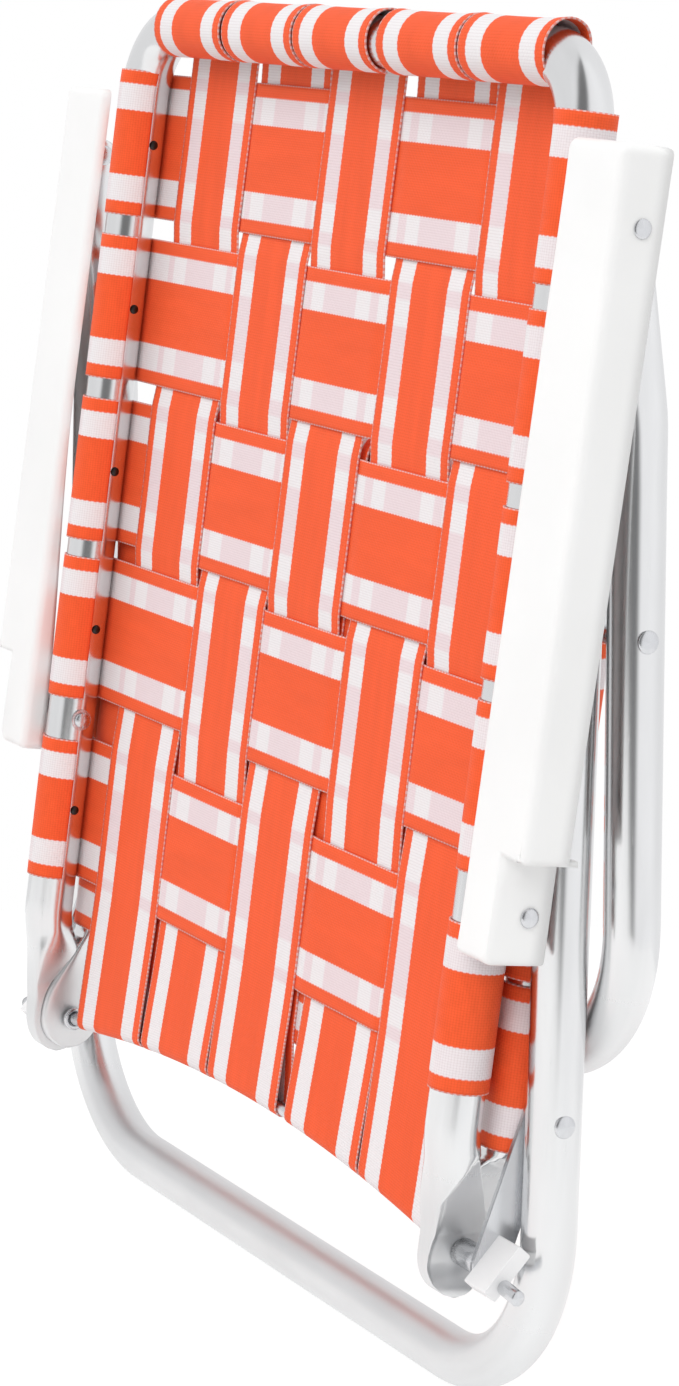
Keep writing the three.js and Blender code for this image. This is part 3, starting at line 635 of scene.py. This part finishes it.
def u_frame(side, low, radius, knees):
    """Corner points and radii of a U: one side's points (depth, height), the bar, the other side mirrored."""
    x, points = side
    left = [(-x, y, z) for y, z in points]
    right = [(x, y, z) for y, z in points[::-1]]
    radii = [*knees, radius, radius, *knees[::-1]]
    return left + [(-x, *low), (x, *low)] + right, radii


def back_form(path):
    """Round tube whose lower end is pressed into a paddle: flat inside, hollowed like a leaf outside."""
    t = path[:, 2] - ROD[1]
    inner = -TUBE_R + SEAT_PADDLE_T + PADDLE_GAP
    wide = mix(BACK_PADDLE_R, TUBE_R, smoothstep(t, *BACK_WIDE_RUN))
    plane = inner + BACK_PADDLE_T
    rise = HOLLOW_FLOOR - plane
    return (
        np.full_like(t, TUBE_R),
        np.where(t < 0, rounded_end(-t, BACK_PADDLE_END) * BACK_PADDLE_R / BACK_PADDLE_END, wide),
        np.zeros_like(t),
        (mix(6.0, ROUND, smoothstep(t, *BACK_FLAT_RUN)), mix(2.5, ROUND, smoothstep(t, *BACK_SQUARE_RUN))),
        np.interp(t, BACK_FLAT_RUN, [inner, -TUBE_R - PRESS_SOFT]),
        np.interp(t, HOLLOW_RUN, [plane, HOLLOW_FLOOR]) + rise * smoothstep(-t, *HOLLOW_TIP),
        np.interp(t, SHELL_Z, SHELL_EDGE),
    )


def seat_form(path):
    """Round tube whose rear end is pressed to a thin paddle at its inner side, with a flat up from it."""
    t = path[:, 2] - ROD[1]
    wide = mix(PADDLE_R, TUBE_R, smoothstep(t, *SEAT_WIDE_RUN))
    return (
        np.full_like(t, TUBE_R),
        np.where(t < 0, rounded_end(-t, PADDLE_R), wide),
        np.zeros_like(t),
        (mix(9.0, ROUND, smoothstep(t, 42, 56)), mix(4.0, ROUND, smoothstep(t, 5, 45))),
        np.full_like(t, -TUBE_R),
        np.interp(t, SEAT_FLAT_RUN, [-TUBE_R + SEAT_PADDLE_T, TUBE_R + PRESS_SOFT]),
        np.full_like(t, -2 * TUBE_R),
    )


def tab_form(z, start):
    """Leg section crushed towards its outer side into a tab round the leg pin."""
    flat = smoothstep(z, start, LEG_PIN[1] - TAB_R - 6)
    hu = mix(TUBE_R, TAB_T / 2, flat)
    hv = np.where(z > LEG_PIN[1], rounded_end(z - LEG_PIN[1], TAB_R), mix(TUBE_R, TAB_R, flat))
    return hu, hv, TUBE_R - hu, mix(ROUND, 2.6, flat)


def rear_form(path):
    """Leg tube with its upper tab and the shallow flat that the link lies in."""
    z = path[:, 2]
    hu, hv, off, square = tab_form(z, LEG_PIN[1] - 110)
    seat = 1 - smoothstep(z, LINK_PIN[1] + 46, LINK_PIN[1] + 68)
    seat = seat * smoothstep(z, LINK_PIN[1] - 72, LINK_PIN[1] - 54)
    free = np.full_like(z, TUBE_R + PRESS_SOFT)
    return hu, hv, off, (square, square), (LEG_DENT + PRESS_SOFT) * seat - free, free, -2 * free


def front_form(path):
    """Leg tube with its upper tab."""
    hu, hv, off, square = tab_form(path[:, 2], LEG_PIN[1] - 118)
    free = np.full_like(hu, TUBE_R + PRESS_SOFT)
    return hu, hv, off, (square, square), -free, free, -2 * free


def rear_depth(z):
    """Depth of the rear leg's straight run at a height."""
    return LINK_PIN[0] - REAR_SLOPE * (z - LINK_PIN[1])


def build_frames():
    """The four bent tube frames."""
    back = u_frame(
        (BACK_X, [(BACK_PADDLE_Y, ROD[1] - BACK_PADDLE_END + TIP), (BACK_PADDLE_Y, ROD[1] + 10),
                  (0.0, ROD[1] + 54)]),
        (0.0, TOP_BAR_Z), CORNER_R, (0, 40, 60),
    )
    seat = u_frame(
        (BACK_X, [(ROD[0], ROD[1] - PADDLE_R + TIP), (ROD[0], ROD[1] + 7), (SEAT_Y, ROD[1] + 44)]),
        (SEAT_Y, FRONT_BAR_Z), CORNER_R, (0, 20, 24),
    )
    tab_end = (LEG_PIN[0], LEG_PIN[1] + TAB_R - TIP)
    rear = u_frame(
        (REAR_X, [tab_end, (LEG_PIN[0], LEG_PIN[1] - 14.5), (rear_depth(KNEE_Z), KNEE_Z)]),
        (rear_depth(REAR_FOOT_Z), REAR_FOOT_Z), REAR_BEND_R, (0, 60, 160),
    )
    front = u_frame(
        (FRONT_X, [tab_end, (LEG_PIN[0], LEG_PIN[1] - 4),
                   (SEAT_Y + FRONT_SLOPE * (SEAT_BOLT[1] - KNEE_Z), KNEE_Z)]),
        (FRONT_FOOT_Y, FRONT_FOOT_Z), FRONT_BEND_R, (0, 20, KNEE_R),
    )
    for node, body, (corners, radii), form, foot in (
        ("back_frame", "back", back, back_form, ROD[1]),
        ("seat_frame", "seat", seat, seat_form, ROD[1]),
        ("rear_leg", "rear_leg", rear, rear_form, REAR_FOOT_Z),
        ("front_leg", "front_leg", front, front_form, FRONT_FOOT_Z),
    ):
        path = thin_middle(round_corners(corners, radii, END_STEP), END_LENGTH, MIDDLE_STEP)
        piece = tube(node + "_tube", path, form, polished, body, foot)
        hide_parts(node)


# Rod, pins and links


def rod_bow(x):
    """Height of the sprung rod over its straight line: a parabola between the paddles, then a droop."""
    x = np.abs(x)
    return np.where(x < ROD_SPAN, ROD_BOW * (1 - (x / ROD_SPAN) ** 2), -ROD_DROOP * (x - ROD_SPAN))


def build_rod():
    """Hinge rod: the sprung middle inside the web loops and an end at each side, which the links ride on."""
    spans = {"hinge_rod_middle": np.linspace(-ROD_SPAN, ROD_SPAN, 121)}
    for side, s in SIDES:
        spans[f"hinge_rod_{side}"] = s * np.linspace(ROD_SPAN - 1.0, ROD_REACH, 25)
    for name, x in spans.items():
        middle = name == "hinge_rod_middle"
        r = np.full(len(x), ROD_R)
        if not middle:
            r[-1] = ROD_R - ROD_BEVEL
            x[-2] = x[-1] - np.sign(x[-1]) * ROD_BEVEL
        x = np.concatenate([x[:1], x, x[-1:]])
        r = np.concatenate([[0.0], r, [0.0]])
        grid, uv = ring_grid(ROD, np.stack([x, r], axis=1), 24, rod_bow(x)[:, None])
        piece = surface(name, [grid], zinc, None if middle else "seat", uvs=[uv])
        if middle:
            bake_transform(piece)
        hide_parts("hinge_rod")


def build_pins():
    """Spacers, washers, bolts and rivets, each turned on its own axis."""
    parts = []
    tube_in, tube_out = BACK_X - TUBE_R, BACK_X + TUBE_R
    paddle_out = tube_in + SEAT_PADDLE_T + PADDLE_GAP + BACK_PADDLE_T
    washer_in, washer_out = tube_in + BOLT_WASHER_X[0], tube_in + BOLT_WASHER_X[1]
    rear_in, rear_out = REAR_X - TUBE_R + LEG_DENT, REAR_X + TUBE_R
    tab_in, tab_out = rear_out - TAB_T - CLEAR, FRONT_X + TUBE_R - 0.4
    leg_out, tongue_in = FRONT_X + TUBE_R + CLEAR, TONGUE_OUT - ARM_WALL
    for side, s in SIDES:
        def solid(stations):
            return [(s * x, r) for x, r in stations]

        def hollow(x0, x1, r, bore):
            rounded = [(x0 + BEVEL, r), (x1 - BEVEL, r), (x1, r - BEVEL),
                       (x1, bore), (x0, bore), (x0, r - BEVEL)]
            return solid(rounded + rounded[:1])

        def shank(x0, x1):
            return solid([(x0, 0), (x0, SHANK_R), (x1, SHANK_R), (x1, 0)])

        def head(at, x, kind, way=1):
            radius, height, depth, up = kind
            return (at[0] + depth, at[1] + up), solid(dome(x, way, radius, height))

        parts += [
            (f"rod_spacer_{side}", "seat", [
                (ROD, hollow(paddle_out + CLEAR, BLOCK_X[0] - CLEAR, ROD_SLEEVE_R, ROD_R + CLEAR)),
                (ROD, hollow(tube_in + WASHER_X[0], tube_in + WASHER_X[1], WASHER_R, ROD_R + CLEAR))]),
            (f"arm_spacer_{side}", "back", [
                (ARM_BOLT, hollow(tube_out + CLEAR, tongue_in - CLEAR, SLEEVE_R, SHANK_R + CLEAR))]),
            (f"seat_spacer_{side}", "front_leg", [
                (SEAT_BOLT, hollow(tube_out + CLEAR, FRONT_X - TUBE_R - CLEAR, SLEEVE_R, SHANK_R + CLEAR))]),
            (f"arm_bolt_{side}", "back", [
                (ARM_BOLT, shank(washer_out, TONGUE_OUT - 1.0)),
                (ARM_BOLT, hollow(washer_in, washer_out, BOLT_WASHER_R, SHANK_R)),
                head(ARM_BOLT, washer_in, INNER_HEAD, -1),
                head(ARM_BOLT, TONGUE_OUT, ARM_HEAD)]),
            (f"seat_bolt_{side}", "front_leg", [
                (SEAT_BOLT, shank(washer_out, leg_out - 1.5)),
                head(SEAT_BOLT, washer_out, INNER_HEAD, -1),
                head(SEAT_BOLT, leg_out - 0.9, SEAT_HEAD)]),
            (f"leg_pin_{side}", "front_leg", [
                (LEG_PIN, solid([(tab_in, 0), (tab_in, SHANK_R), (tab_out - BEVEL, SHANK_R),
                                 (tab_out, SHANK_R - BEVEL), (tab_out, 0)])),
                head(LEG_PIN, tab_in, PIN_HEAD, -1)]),
            (f"arm_rivet_{side}", f"arm_{side}", [
                (LEG_PIN, shank(ARM_OUT - ARM_WALL, ARM_OUT - 0.5)),
                head(LEG_PIN, ARM_OUT, RIVET_HEAD)]),
            (f"leg_rivet_{side}", "rear_leg", [
                (LINK_PIN, shank(rear_in + 0.2, rear_out - 1.5)),
                head(LINK_PIN, rear_out - 0.8, LEG_HEAD)]),
            (f"link_rivet_{side}", f"link_{side}", [(LINK_PIN, shank(LINK_IN, LINK_IN + LINK_T))]),
        ]
    for node, body, rounds in parts:
        piece = turned(node + "_turned", rounds, zinc, body)
        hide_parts(node)


def slab(outline, x0, x1):
    """Grid of a flat piece across X: its outline of (depth, height) at x0 and x1, closed at both faces."""
    loop = np.concatenate([outline, outline[:1]])
    middle = np.broadcast_to(outline.mean(axis=0), loop.shape)
    rows = [(x0, middle), (x0, loop), (x1, loop), (x1, middle)]
    return np.stack([np.concatenate([np.full((len(r), 1), x), r], axis=1) for x, r in rows])


def build_links():
    """Swing links: a round-ended strap from the rod to the leg and a folded block on the rod."""
    rod, pin = np.array(ROD), np.array(LINK_PIN)
    along = unit(pin - rod)
    across = np.array([along[1], -along[0]])
    length = np.linalg.norm(pin - rod)
    half = LINK_W / 2
    a = np.linspace(0.0, np.pi, 19)
    tip = np.stack([length + half * np.sin(a), half * np.cos(a)], axis=1)
    heel = np.stack([-half * np.sin(a), -half * np.cos(a)], axis=1)
    plate = np.concatenate([tip, heel])
    plate = rod + plate[:, :1] * along + (plate[:, 1:] + LINK_SHIFT) * across
    lean = np.radians(BLOCK_LEAN)
    along = np.array([np.sin(lean), np.cos(lean)])
    across = np.array([along[1], -along[0]])
    b0, b1, hb, c = -0.45 * BLOCK_LENGTH, 0.55 * BLOCK_LENGTH, BLOCK_T / 2, BEVEL
    block = np.array([[b0, -hb + c], [b0 + c, -hb], [b1 - c, -hb], [b1, -hb + c],
                      [b1, hb - c], [b1 - c, hb], [b0 + c, hb], [b0, hb - c]])
    block = rod + block[:, :1] * along + block[:, 1:] * across
    for side, s in SIDES:
        for part, outline, x0, x1, metal_used in (
            ("plate", plate, LINK_IN, LINK_IN + LINK_T, zinc),
            ("block", block, *BLOCK_X, plated),
        ):
            grid = slab(outline, s * x0, s * x1)
            piece = surface(f"swing_link_{side}_{part}", [grid], metal_used, f"link_{side}",
                            uvs=[grid[..., 1:] * MM])
            bevel = piece.modifiers.new("soft_edges", "BEVEL")
            bevel.width = 0.0005
            bevel.segments = 2
            bevel.limit_method = "ANGLE"
            piece.data.polygons.foreach_set("use_smooth", np.zeros(len(piece.data.polygons), bool))
            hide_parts(f"swing_link_{side}")


# Arms


def rounded_outline(corners, radii, steps=10):
    """Closed outline of corner points (n, 2) in order, each rounded by its radius."""
    corners = np.asarray(corners, float)
    n = len(corners)
    out = []
    for k in range(n):
        a = unit(corners[k - 1] - corners[k])
        b = unit(corners[(k + 1) % n] - corners[k])
        half = np.arccos(np.clip(a @ b, -1, 1)) / 2
        centre = corners[k] + unit(a + b) * radii[k] / np.sin(half)
        ends = [corners[k] + way * radii[k] / np.tan(half) - centre for way in (a, b)]
        start, stop = [np.arctan2(*end[::-1]) for end in ends]
        turn = (stop - start + np.pi) % (2 * np.pi) - np.pi
        angle = start + turn * np.linspace(0, 1, steps)
        out.append(centre + radii[k] * np.stack([np.cos(angle), np.sin(angle)], axis=1))
    return np.concatenate(out)


def spread(outline, count):
    """A closed outline's points spaced evenly, with its first point repeated at the end."""
    loop = np.concatenate([outline, outline[:1]])
    at = distance_along(loop)
    return points_at(loop, at, np.linspace(0, at[-1], count + 1))


def tray(outline, spine, top, rim, edge):
    """Rings of a moulded cover: round the edge from the flat top and down to the rim.

    A ring is the outline pulled in by edge * (1 - sin a) and lowered by edge * (1 - cos a), and after
    these the rings go straight down.
    top(p) gives the top face's depth and rim the depth of the rim at each outline point.
    """
    inward = unit(spine - outline)
    rings = []
    for a in np.linspace(0, np.pi / 2, 10):
        p = outline + inward * edge * (1 - np.sin(a))
        rings.append((p, top(outline) + edge * (1 - np.cos(a))))
    start = top(outline) + edge
    for share in (0.3, 0.65, 1.0):
        rings.append((outline, start + (np.maximum(rim, start + 0.2) - start) * share))
    return np.stack([np.stack([p[:, 0], y, p[:, 1]], axis=1) for p, y in rings])


def arm_share(z):
    """0 at the rear end of an arm's body, 1 at its front end, carried on over the tongue."""
    return (z - ARM_Z[0]) / (ARM_Z[1] - ARM_Z[0])


def arm_top(p):
    """Depth of an arm's flat top face at (across, height) points."""
    return mix(*ARM_TOP, arm_share(p[:, 1]))


def build_arms():
    """White moulded arms: a channel with a deep outer skirt, set in at the rear to a tongue for the bolt."""
    outline = spread(rounded_outline(
        [(ARM_IN, TONGUE_Z), (TONGUE_OUT, TONGUE_Z), (TONGUE_OUT, ARM_Z[0]), (ARM_OUT, ARM_Z[0]),
         (ARM_OUT, ARM_Z[1]), (ARM_IN, ARM_Z[1])],
        [3.0, 3.0, 1.0, 3.0, 4.0, 4.0]), 640)
    x, z = outline.T
    body = smoothstep(z, ARM_Z[0] - 4, ARM_Z[0] + 24)
    spine = np.stack([mix((ARM_IN + TONGUE_OUT) / 2, (ARM_IN + ARM_OUT) / 2, body),
                      np.clip(z, TONGUE_Z + 14, ARM_Z[1] - 22)], axis=1)
    on_tongue = z < ARM_Z[0] + 0.5
    spine[on_tongue & (x > TONGUE_OUT - 0.5)] = ((ARM_IN + TONGUE_OUT) / 2, ARM_Z[0] + 20)
    far = np.where(on_tongue, TONGUE_OUT, ARM_OUT)
    outer = smoothstep(x, mix(ARM_IN, far, 0.78), mix(ARM_IN, far, 0.98))
    skirt = np.where(on_tongue, TONGUE_SKIRT, mix(*ARM_SKIRT, np.clip(arm_share(z), 0.0, 1.0)))
    lip = arm_top(outline) + ARM_EDGE + 0.5 + LIP_DROP * (1 - smoothstep(z, *LIP_RUN))
    rings = tray(outline, spine, arm_top, mix(lip, skirt, outer), ARM_EDGE)
    for side, s in SIDES:
        grid = rings * (s, 1, 1)
        piece = surface(f"arm_{side}_moulding", [grid], moulded, f"arm_{side}", uvs=[grid[..., [0, 2]] * MM],
                        closed=False)
        bm = bmesh.new()
        bm.from_mesh(piece.data)
        open_edges = [e for e in bm.edges if e.is_boundary]
        flat = {v for e in open_edges for v in e.verts}
        heights = {v: v.co.y - mix(*ARM_TOP, arm_share(v.co.z / MM)) * MM - SHIFT_Y * MM for v in flat}
        top_edges = [e for e in open_edges if all(abs(heights[v]) < 3e-4 for v in e.verts)]
        bmesh.ops.contextual_create(bm, geom=top_edges)
        bmesh.ops.recalc_face_normals(bm, faces=bm.faces)
        bm.to_mesh(piece.data)
        bm.free()
        piece.data.polygons.foreach_set("use_smooth", np.ones(len(piece.data.polygons), bool))
        wall = piece.modifiers.new("wall", "SOLIDIFY")
        wall.thickness = ARM_WALL * MM
        wall.offset = -1.0
        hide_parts(f"arm_{side}")


# Webbing


def relax(line, spacing, blur):
    """Line (n, 2) resampled evenly and smoothed along itself by a short Gaussian, ends kept."""
    at = distance_along(line)
    line = points_at(line, at, np.linspace(0.0, at[-1], int(at[-1] / spacing) + 1))
    reach = int(3 * blur / spacing) + 1
    k = np.exp(-0.5 * (np.arange(-reach, reach + 1) * spacing / blur) ** 2)
    k /= k.sum()
    first = 2 * line[:1] - line[reach:0:-1]
    last = 2 * line[-1:] - line[-2 : -reach - 2 : -1]
    wide = np.concatenate([first, line, last])
    return np.stack([np.convolve(wide[:, c], k, "valid") for c in range(2)], axis=1)


def stripe_share(fraction):
    """1 where a web is orange at a fraction of its width, 0 on its white stripes or past its edges."""
    f = np.asarray(fraction)
    a, b, c, d = STRIPES
    white = ((f > a) & (f < b)) | ((f > c) & (f < d))
    return np.where((f > 0) & (f < 1) & ~white, 1.0, 0.0)


def strap(name, line, at, lay, behind, spacing=1.6, columns=30):
    """Web strap: the line carried across the web's width, with slightly rippled edges.

    lay(p, w) puts a line point p and a width w into space. behind(p) is how much orange lies behind it, which
    sets the painted pink glow on the white stripes.
    """
    line = relax(line, spacing, 1.3)
    tangent = unit(np.gradient(line, axis=0))
    normal = np.stack([-tangent[:, 1], tangent[:, 0]], axis=1)
    length = distance_along(line)
    w = np.linspace(-0.5, 0.5, columns + 1)
    ripple = 0.10 * np.sin(length[:, None] / 17.0 + at) * np.abs(2 * w[None, :]) ** 3
    pts = line[:, None, :] + normal[:, None, :] * ripple[..., None]
    wide = np.broadcast_to(w[None, :] * WEB_W, pts.shape[:2])
    grid = lay(pts, wide)
    piece = surface(name, [grid], webbing, None, uvs=[uv_grid(w + 0.5, length * MM)],
                    marks={"behind": [behind(pts)]}, closed=False)
    cloth = piece.modifiers.new("cloth", "SOLIDIFY")
    cloth.thickness = WEB_T * MM
    cloth.offset = 0.0
    return piece, (WEB_W * MM, length[-1] * MM)


def arc(start, stop, point, step=6.0):
    """Points of point(angle) from start to stop degrees."""
    n = max(3, int(abs(stop - start) / step))
    return point(np.radians(np.linspace(start, stop, n)))


def levels(centres, edges, values, to_point):
    """Line points at both edges of each crossed web, at that crossing's level."""
    ends = np.stack([centres + edges[0], centres + edges[1]], axis=1).ravel()
    return to_point(ends, np.repeat(values, 2))


def cross_web(name, z, axis_y, lean, over):
    """Cross web: wrapped round both side tubes, woven through the long webs between them."""
    def side(s):
        return lambda a: np.stack(
            [s * (BACK_X + WEB_R * np.sin(a)), axis_y + lean * WEB_R * np.cos(a)], axis=1)

    flat = levels(LONG_X, (-CROSS_HALF, CROSS_HALF), over, lambda x, v: np.stack(
        [x, axis_y + lean * (WEB_R + WEAVE * v)], axis=1))
    line = np.concatenate([arc(WRAP_END, 0, side(-1)), flat, arc(0, WRAP_END, side(1))])

    def lay(p, w):
        x, y = p[..., 0], p[..., 1]
        rise = np.clip(z + w - (TOP_BAR_Z - CORNER_R), 0.0, CORNER_R) if lean > 0 else 0.0 * w
        inset = CORNER_R - np.sqrt(CORNER_R**2 - rise**2)
        inner = np.clip((1 - (np.abs(x) - BACK_X) / WEB_R) / 2, 0.0, 1.0)
        wrapped = smoothstep(-lean * (y - axis_y), -0.9 * WEB_R, 0.0)
        return np.stack([x - np.sign(x) * inset * inner * wrapped, y, z + w], axis=-1)

    def behind(p):
        f = (p[..., 0][..., None] - LONG_X) / WEB_W + 0.5
        flat_part = np.abs(p[..., 0]) < BACK_X
        # the wraps round the tubes get 0.4 of the painted pink glow
        return np.where(flat_part, stripe_share(f).max(axis=-1), 0.4)

    return strap(name, line, z, lay, behind)


def roll_swell(d, z, w):
    """Radial stand-off of a web roll on a bar's axis at (0, 0): most at its edges, none on the flat run."""
    angle = np.degrees(np.arctan2(z, d)) % 360.0
    near = (np.hypot(d, z) < WEB_R + 3.0) & (angle < ROLL_END)
    swell = (ROLL_SWELL[0] + ROLL_SWELL[1] * np.abs(2 * w / WEB_W) ** 3) * smoothstep(angle, 5, 60)
    return np.where(near, swell * (1 - 0.8 * smoothstep(angle, 110, 190)), 0.0)


def long_line(over_back, over_seat, end):
    """Long web's line (depth, height): top roll, down the back, round the rod, along the seat, front roll."""
    rod_r = ROD_R + WEB_GAP + WEB_T / 2

    def circle(y, z, across, up):
        return lambda a: np.stack([y + across * np.cos(a), z + up * np.sin(a)], axis=1)

    roll = arc(end, 0, circle(0.0, TOP_BAR_Z, WEB_R, WEB_R))
    back = levels(BACK_CROSS_Z, (CROSS_HALF, -CROSS_HALF), over_back,
                  lambda z, v: np.stack([WEB_R + WEAVE * v, z], axis=1))
    turn = arc(180, 360, circle(*ROD, rod_r, rod_r), 8)
    seat = levels(SEAT_CROSS_Z, (-CROSS_HALF, CROSS_HALF), over_seat,
                  lambda z, v: np.stack([SEAT_Y - WEB_R - WEAVE * v, z], axis=1))
    front = arc(0, end, circle(SEAT_Y, FRONT_BAR_Z, -WEB_R, WEB_R))
    return np.concatenate([roll, back, turn, seat, front])


def build_webs():
    """Five long webs that pass from the back to the seat, five cross webs behind and three on the seat."""
    rows, seat_rows, cols = np.arange(5), np.arange(3), np.arange(5)
    for body, heights, axis_y, lean, first in (
        ("back", BACK_CROSS_Z, 0.0, 1, 0),
        ("seat", SEAT_CROSS_Z, SEAT_Y, -1, 1),
    ):
        for j, z in enumerate(heights):
            name = f"{body}_cross_web_{j + 1}"
            piece, flat = cross_web(name + "_strap", z, axis_y, lean, 1 - (cols + j + first) % 2)
            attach(piece, body)
            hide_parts(name)
    for i, x in enumerate(LONG_X):
        line = long_line((i + rows) % 2, (i + seat_rows + 1) % 2, WRAP_END)

        def lay(p, w, x=x):
            d, z = p[..., 0], p[..., 1]
            top = roll_swell(d, z - TOP_BAR_Z, w)
            front = roll_swell(SEAT_Y - d, z - FRONT_BAR_Z, w)
            a_top = np.arctan2(z - TOP_BAR_Z, d)
            a_front = np.arctan2(z - FRONT_BAR_Z, SEAT_Y - d)
            up = rod_bow(x + w) * (1 - smoothstep(z, ROD[1], ROD[1] + BOW_RISE))
            d = d + top * np.cos(a_top) - front * np.cos(a_front)
            z = z + top * np.sin(a_top) + front * np.sin(a_front) + up
            angle = np.degrees(a_top) % 360.0
            on_top = (p[..., 1] > TOP_BAR_Z - 30) & (angle < ROLL_END)
            lean = np.where(on_top, ROLL_LEAN * smoothstep(angle, 20, 140), 0.0)
            drift = LOW_DRIFT * (1 - smoothstep(p[..., 1], ROD[1], ROD[1] + LOW_DRIFT_RISE))
            return np.stack([x + w + lean + drift, d, z], axis=-1)

        # share of orange behind each point, which sets the painted pink glow on the white stripes
        def behind(p):
            on_back = p[..., 0] < ROD[0]
            f_back = (p[..., 1][..., None] - BACK_CROSS_Z) / WEB_W + 0.5
            f_seat = (p[..., 1][..., None] - SEAT_CROSS_Z) / WEB_W + 0.5
            return np.where(on_back, stripe_share(f_back).max(-1), stripe_share(f_seat).max(-1))

        piece, flat = strap(f"long_web_{i + 1}_strap", line, x, lay, behind)
        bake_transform(piece)
        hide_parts(f"back_long_web_{i + 1}", f"seat_long_web_{i + 1}")


def build_screws():
    """Screws on the tubes' inner sides that hold the cross webs' ends, coloured near black as painted shade
    of the holes they sit in.
    """
    x0, x1 = BACK_X - TUBE_R + 0.6, BACK_X - TUBE_R - 1.3
    for body, heights, depth in (
        ("back", BACK_CROSS_Z, SCREW_DEPTH),
        ("seat", SEAT_CROSS_Z, SEAT_Y - SCREW_DEPTH),
    ):
        rounds = []
        for _, s in SIDES:
            ring = [(x0, 0.0)] + dome(x0, -1, SCREW_R, x0 - x1)
            rounds += [((depth, z), [(s * x, r) for x, r in ring]) for z in heights]
        piece = turned(f"web_screws_{body}", rounds, hole_shade_black, body)


# Stage


def stand(name, data, axes, at):
    """Lamp or camera in the scene, with its own three axes and its place in metres."""
    holder = bpy.data.objects.new(name, data)
    holder.matrix_world = Matrix([[*row, p] for row, p in zip(np.transpose(axes), at)] + [[0, 0, 0, 1]])
    bpy.context.scene.collection.objects.link(holder)
    return holder


def build_world():
    """White to the camera, plain grey light, and to metal a surround with one dark band."""
    world = bpy.data.worlds.new("studio")
    bpy.context.scene.world = world
    world.use_nodes = True
    tree = world.node_tree
    way = add(tree, "ShaderNodeTexCoord").outputs["Generated"]
    parts = add(tree, "ShaderNodeSeparateXYZ", Vector=way)
    turn = maths(tree, "ARCTAN2", parts.outputs["Y"], parts.outputs["X"])
    round_share = maths(tree, "MULTIPLY_ADD", turn, 0.5 / np.pi, 0.5)
    walls = ramp(tree, round_share, [(at, (level, level, level * 1.01)) for at, level in WALLS])
    rays = add(tree, "ShaderNodeLightPath")
    sky = blend_colours(tree, rays.outputs["Is Glossy Ray"], (SKY, SKY, SKY, 1.0), walls)
    seen = blend_colours(tree, rays.outputs["Is Camera Ray"], sky, (1.0, 1.0, 1.0, 1.0))
    tree.links.new(seen, tree.nodes["Background"].inputs["Color"])


def build_stage():
    """Pale floor, the surround, three large lamps that metal doesn't mirror, and the camera."""
    corners = [[(x, y, 0.0) for x in (-FLOOR, FLOOR)] for y in (-FLOOR, FLOOR)]
    floor = surface("floor", [np.array(corners)], floor_material(), None, closed=False)
    build_world()
    for name, place, size, power in LAMPS:
        lamp = bpy.data.lights.new(name, "AREA")
        lamp.energy = power
        lamp.size = size
        away = unit(np.array(place) - LAMP_AIM)
        side = unit(np.cross((0.0, 0.0, 1.0), away))
        stand(name, lamp, (side, np.cross(away, side), away), place).visible_glossy = False
    camera = bpy.data.cameras.new("camera")
    camera.lens = LENS
    camera.sensor_width = SENSOR
    camera.clip_end = 50.0
    bpy.context.scene.camera = stand("camera", camera, EYE_AXES, EYE)
    bpy.context.scene.view_settings.view_transform = "Standard"


def floor_material():
    """Pale floor: plain diffuse for bounced light. To the camera and to metal it is mostly its own
    white, with a lit part left that carries the soft shadow."""
    made, tree, shader = material("pale_floor")
    shader.inputs["Base Color"].default_value = (0.9, 0.9, 0.9, 1.0)
    shader.inputs["Roughness"].default_value = 0.8
    rays = add(tree, "ShaderNodeLightPath")
    seen = maths(tree, "MAXIMUM", rays.outputs["Is Camera Ray"], rays.outputs["Is Glossy Ray"])
    white = add(tree, "ShaderNodeEmission", Color=(1.0, 1.0, 1.0, 1.0), Strength=0.8)
    lit = add(tree, "ShaderNodeBsdfDiffuse", Color=(0.3, 0.3, 0.3, 1.0))
    own = add(tree, "ShaderNodeAddShader", i0=white.outputs[0], i1=lit.outputs[0])
    both = add(tree, "ShaderNodeMixShader", Fac=seen, i1=shader.outputs[0], i2=own.outputs[0])
    tree.links.new(both.outputs[0], tree.nodes["Material Output"].inputs["Surface"])
    return made


build_frames()
build_rod()
build_pins()
build_links()
build_arms()
build_webs()
build_screws()
build_stage()
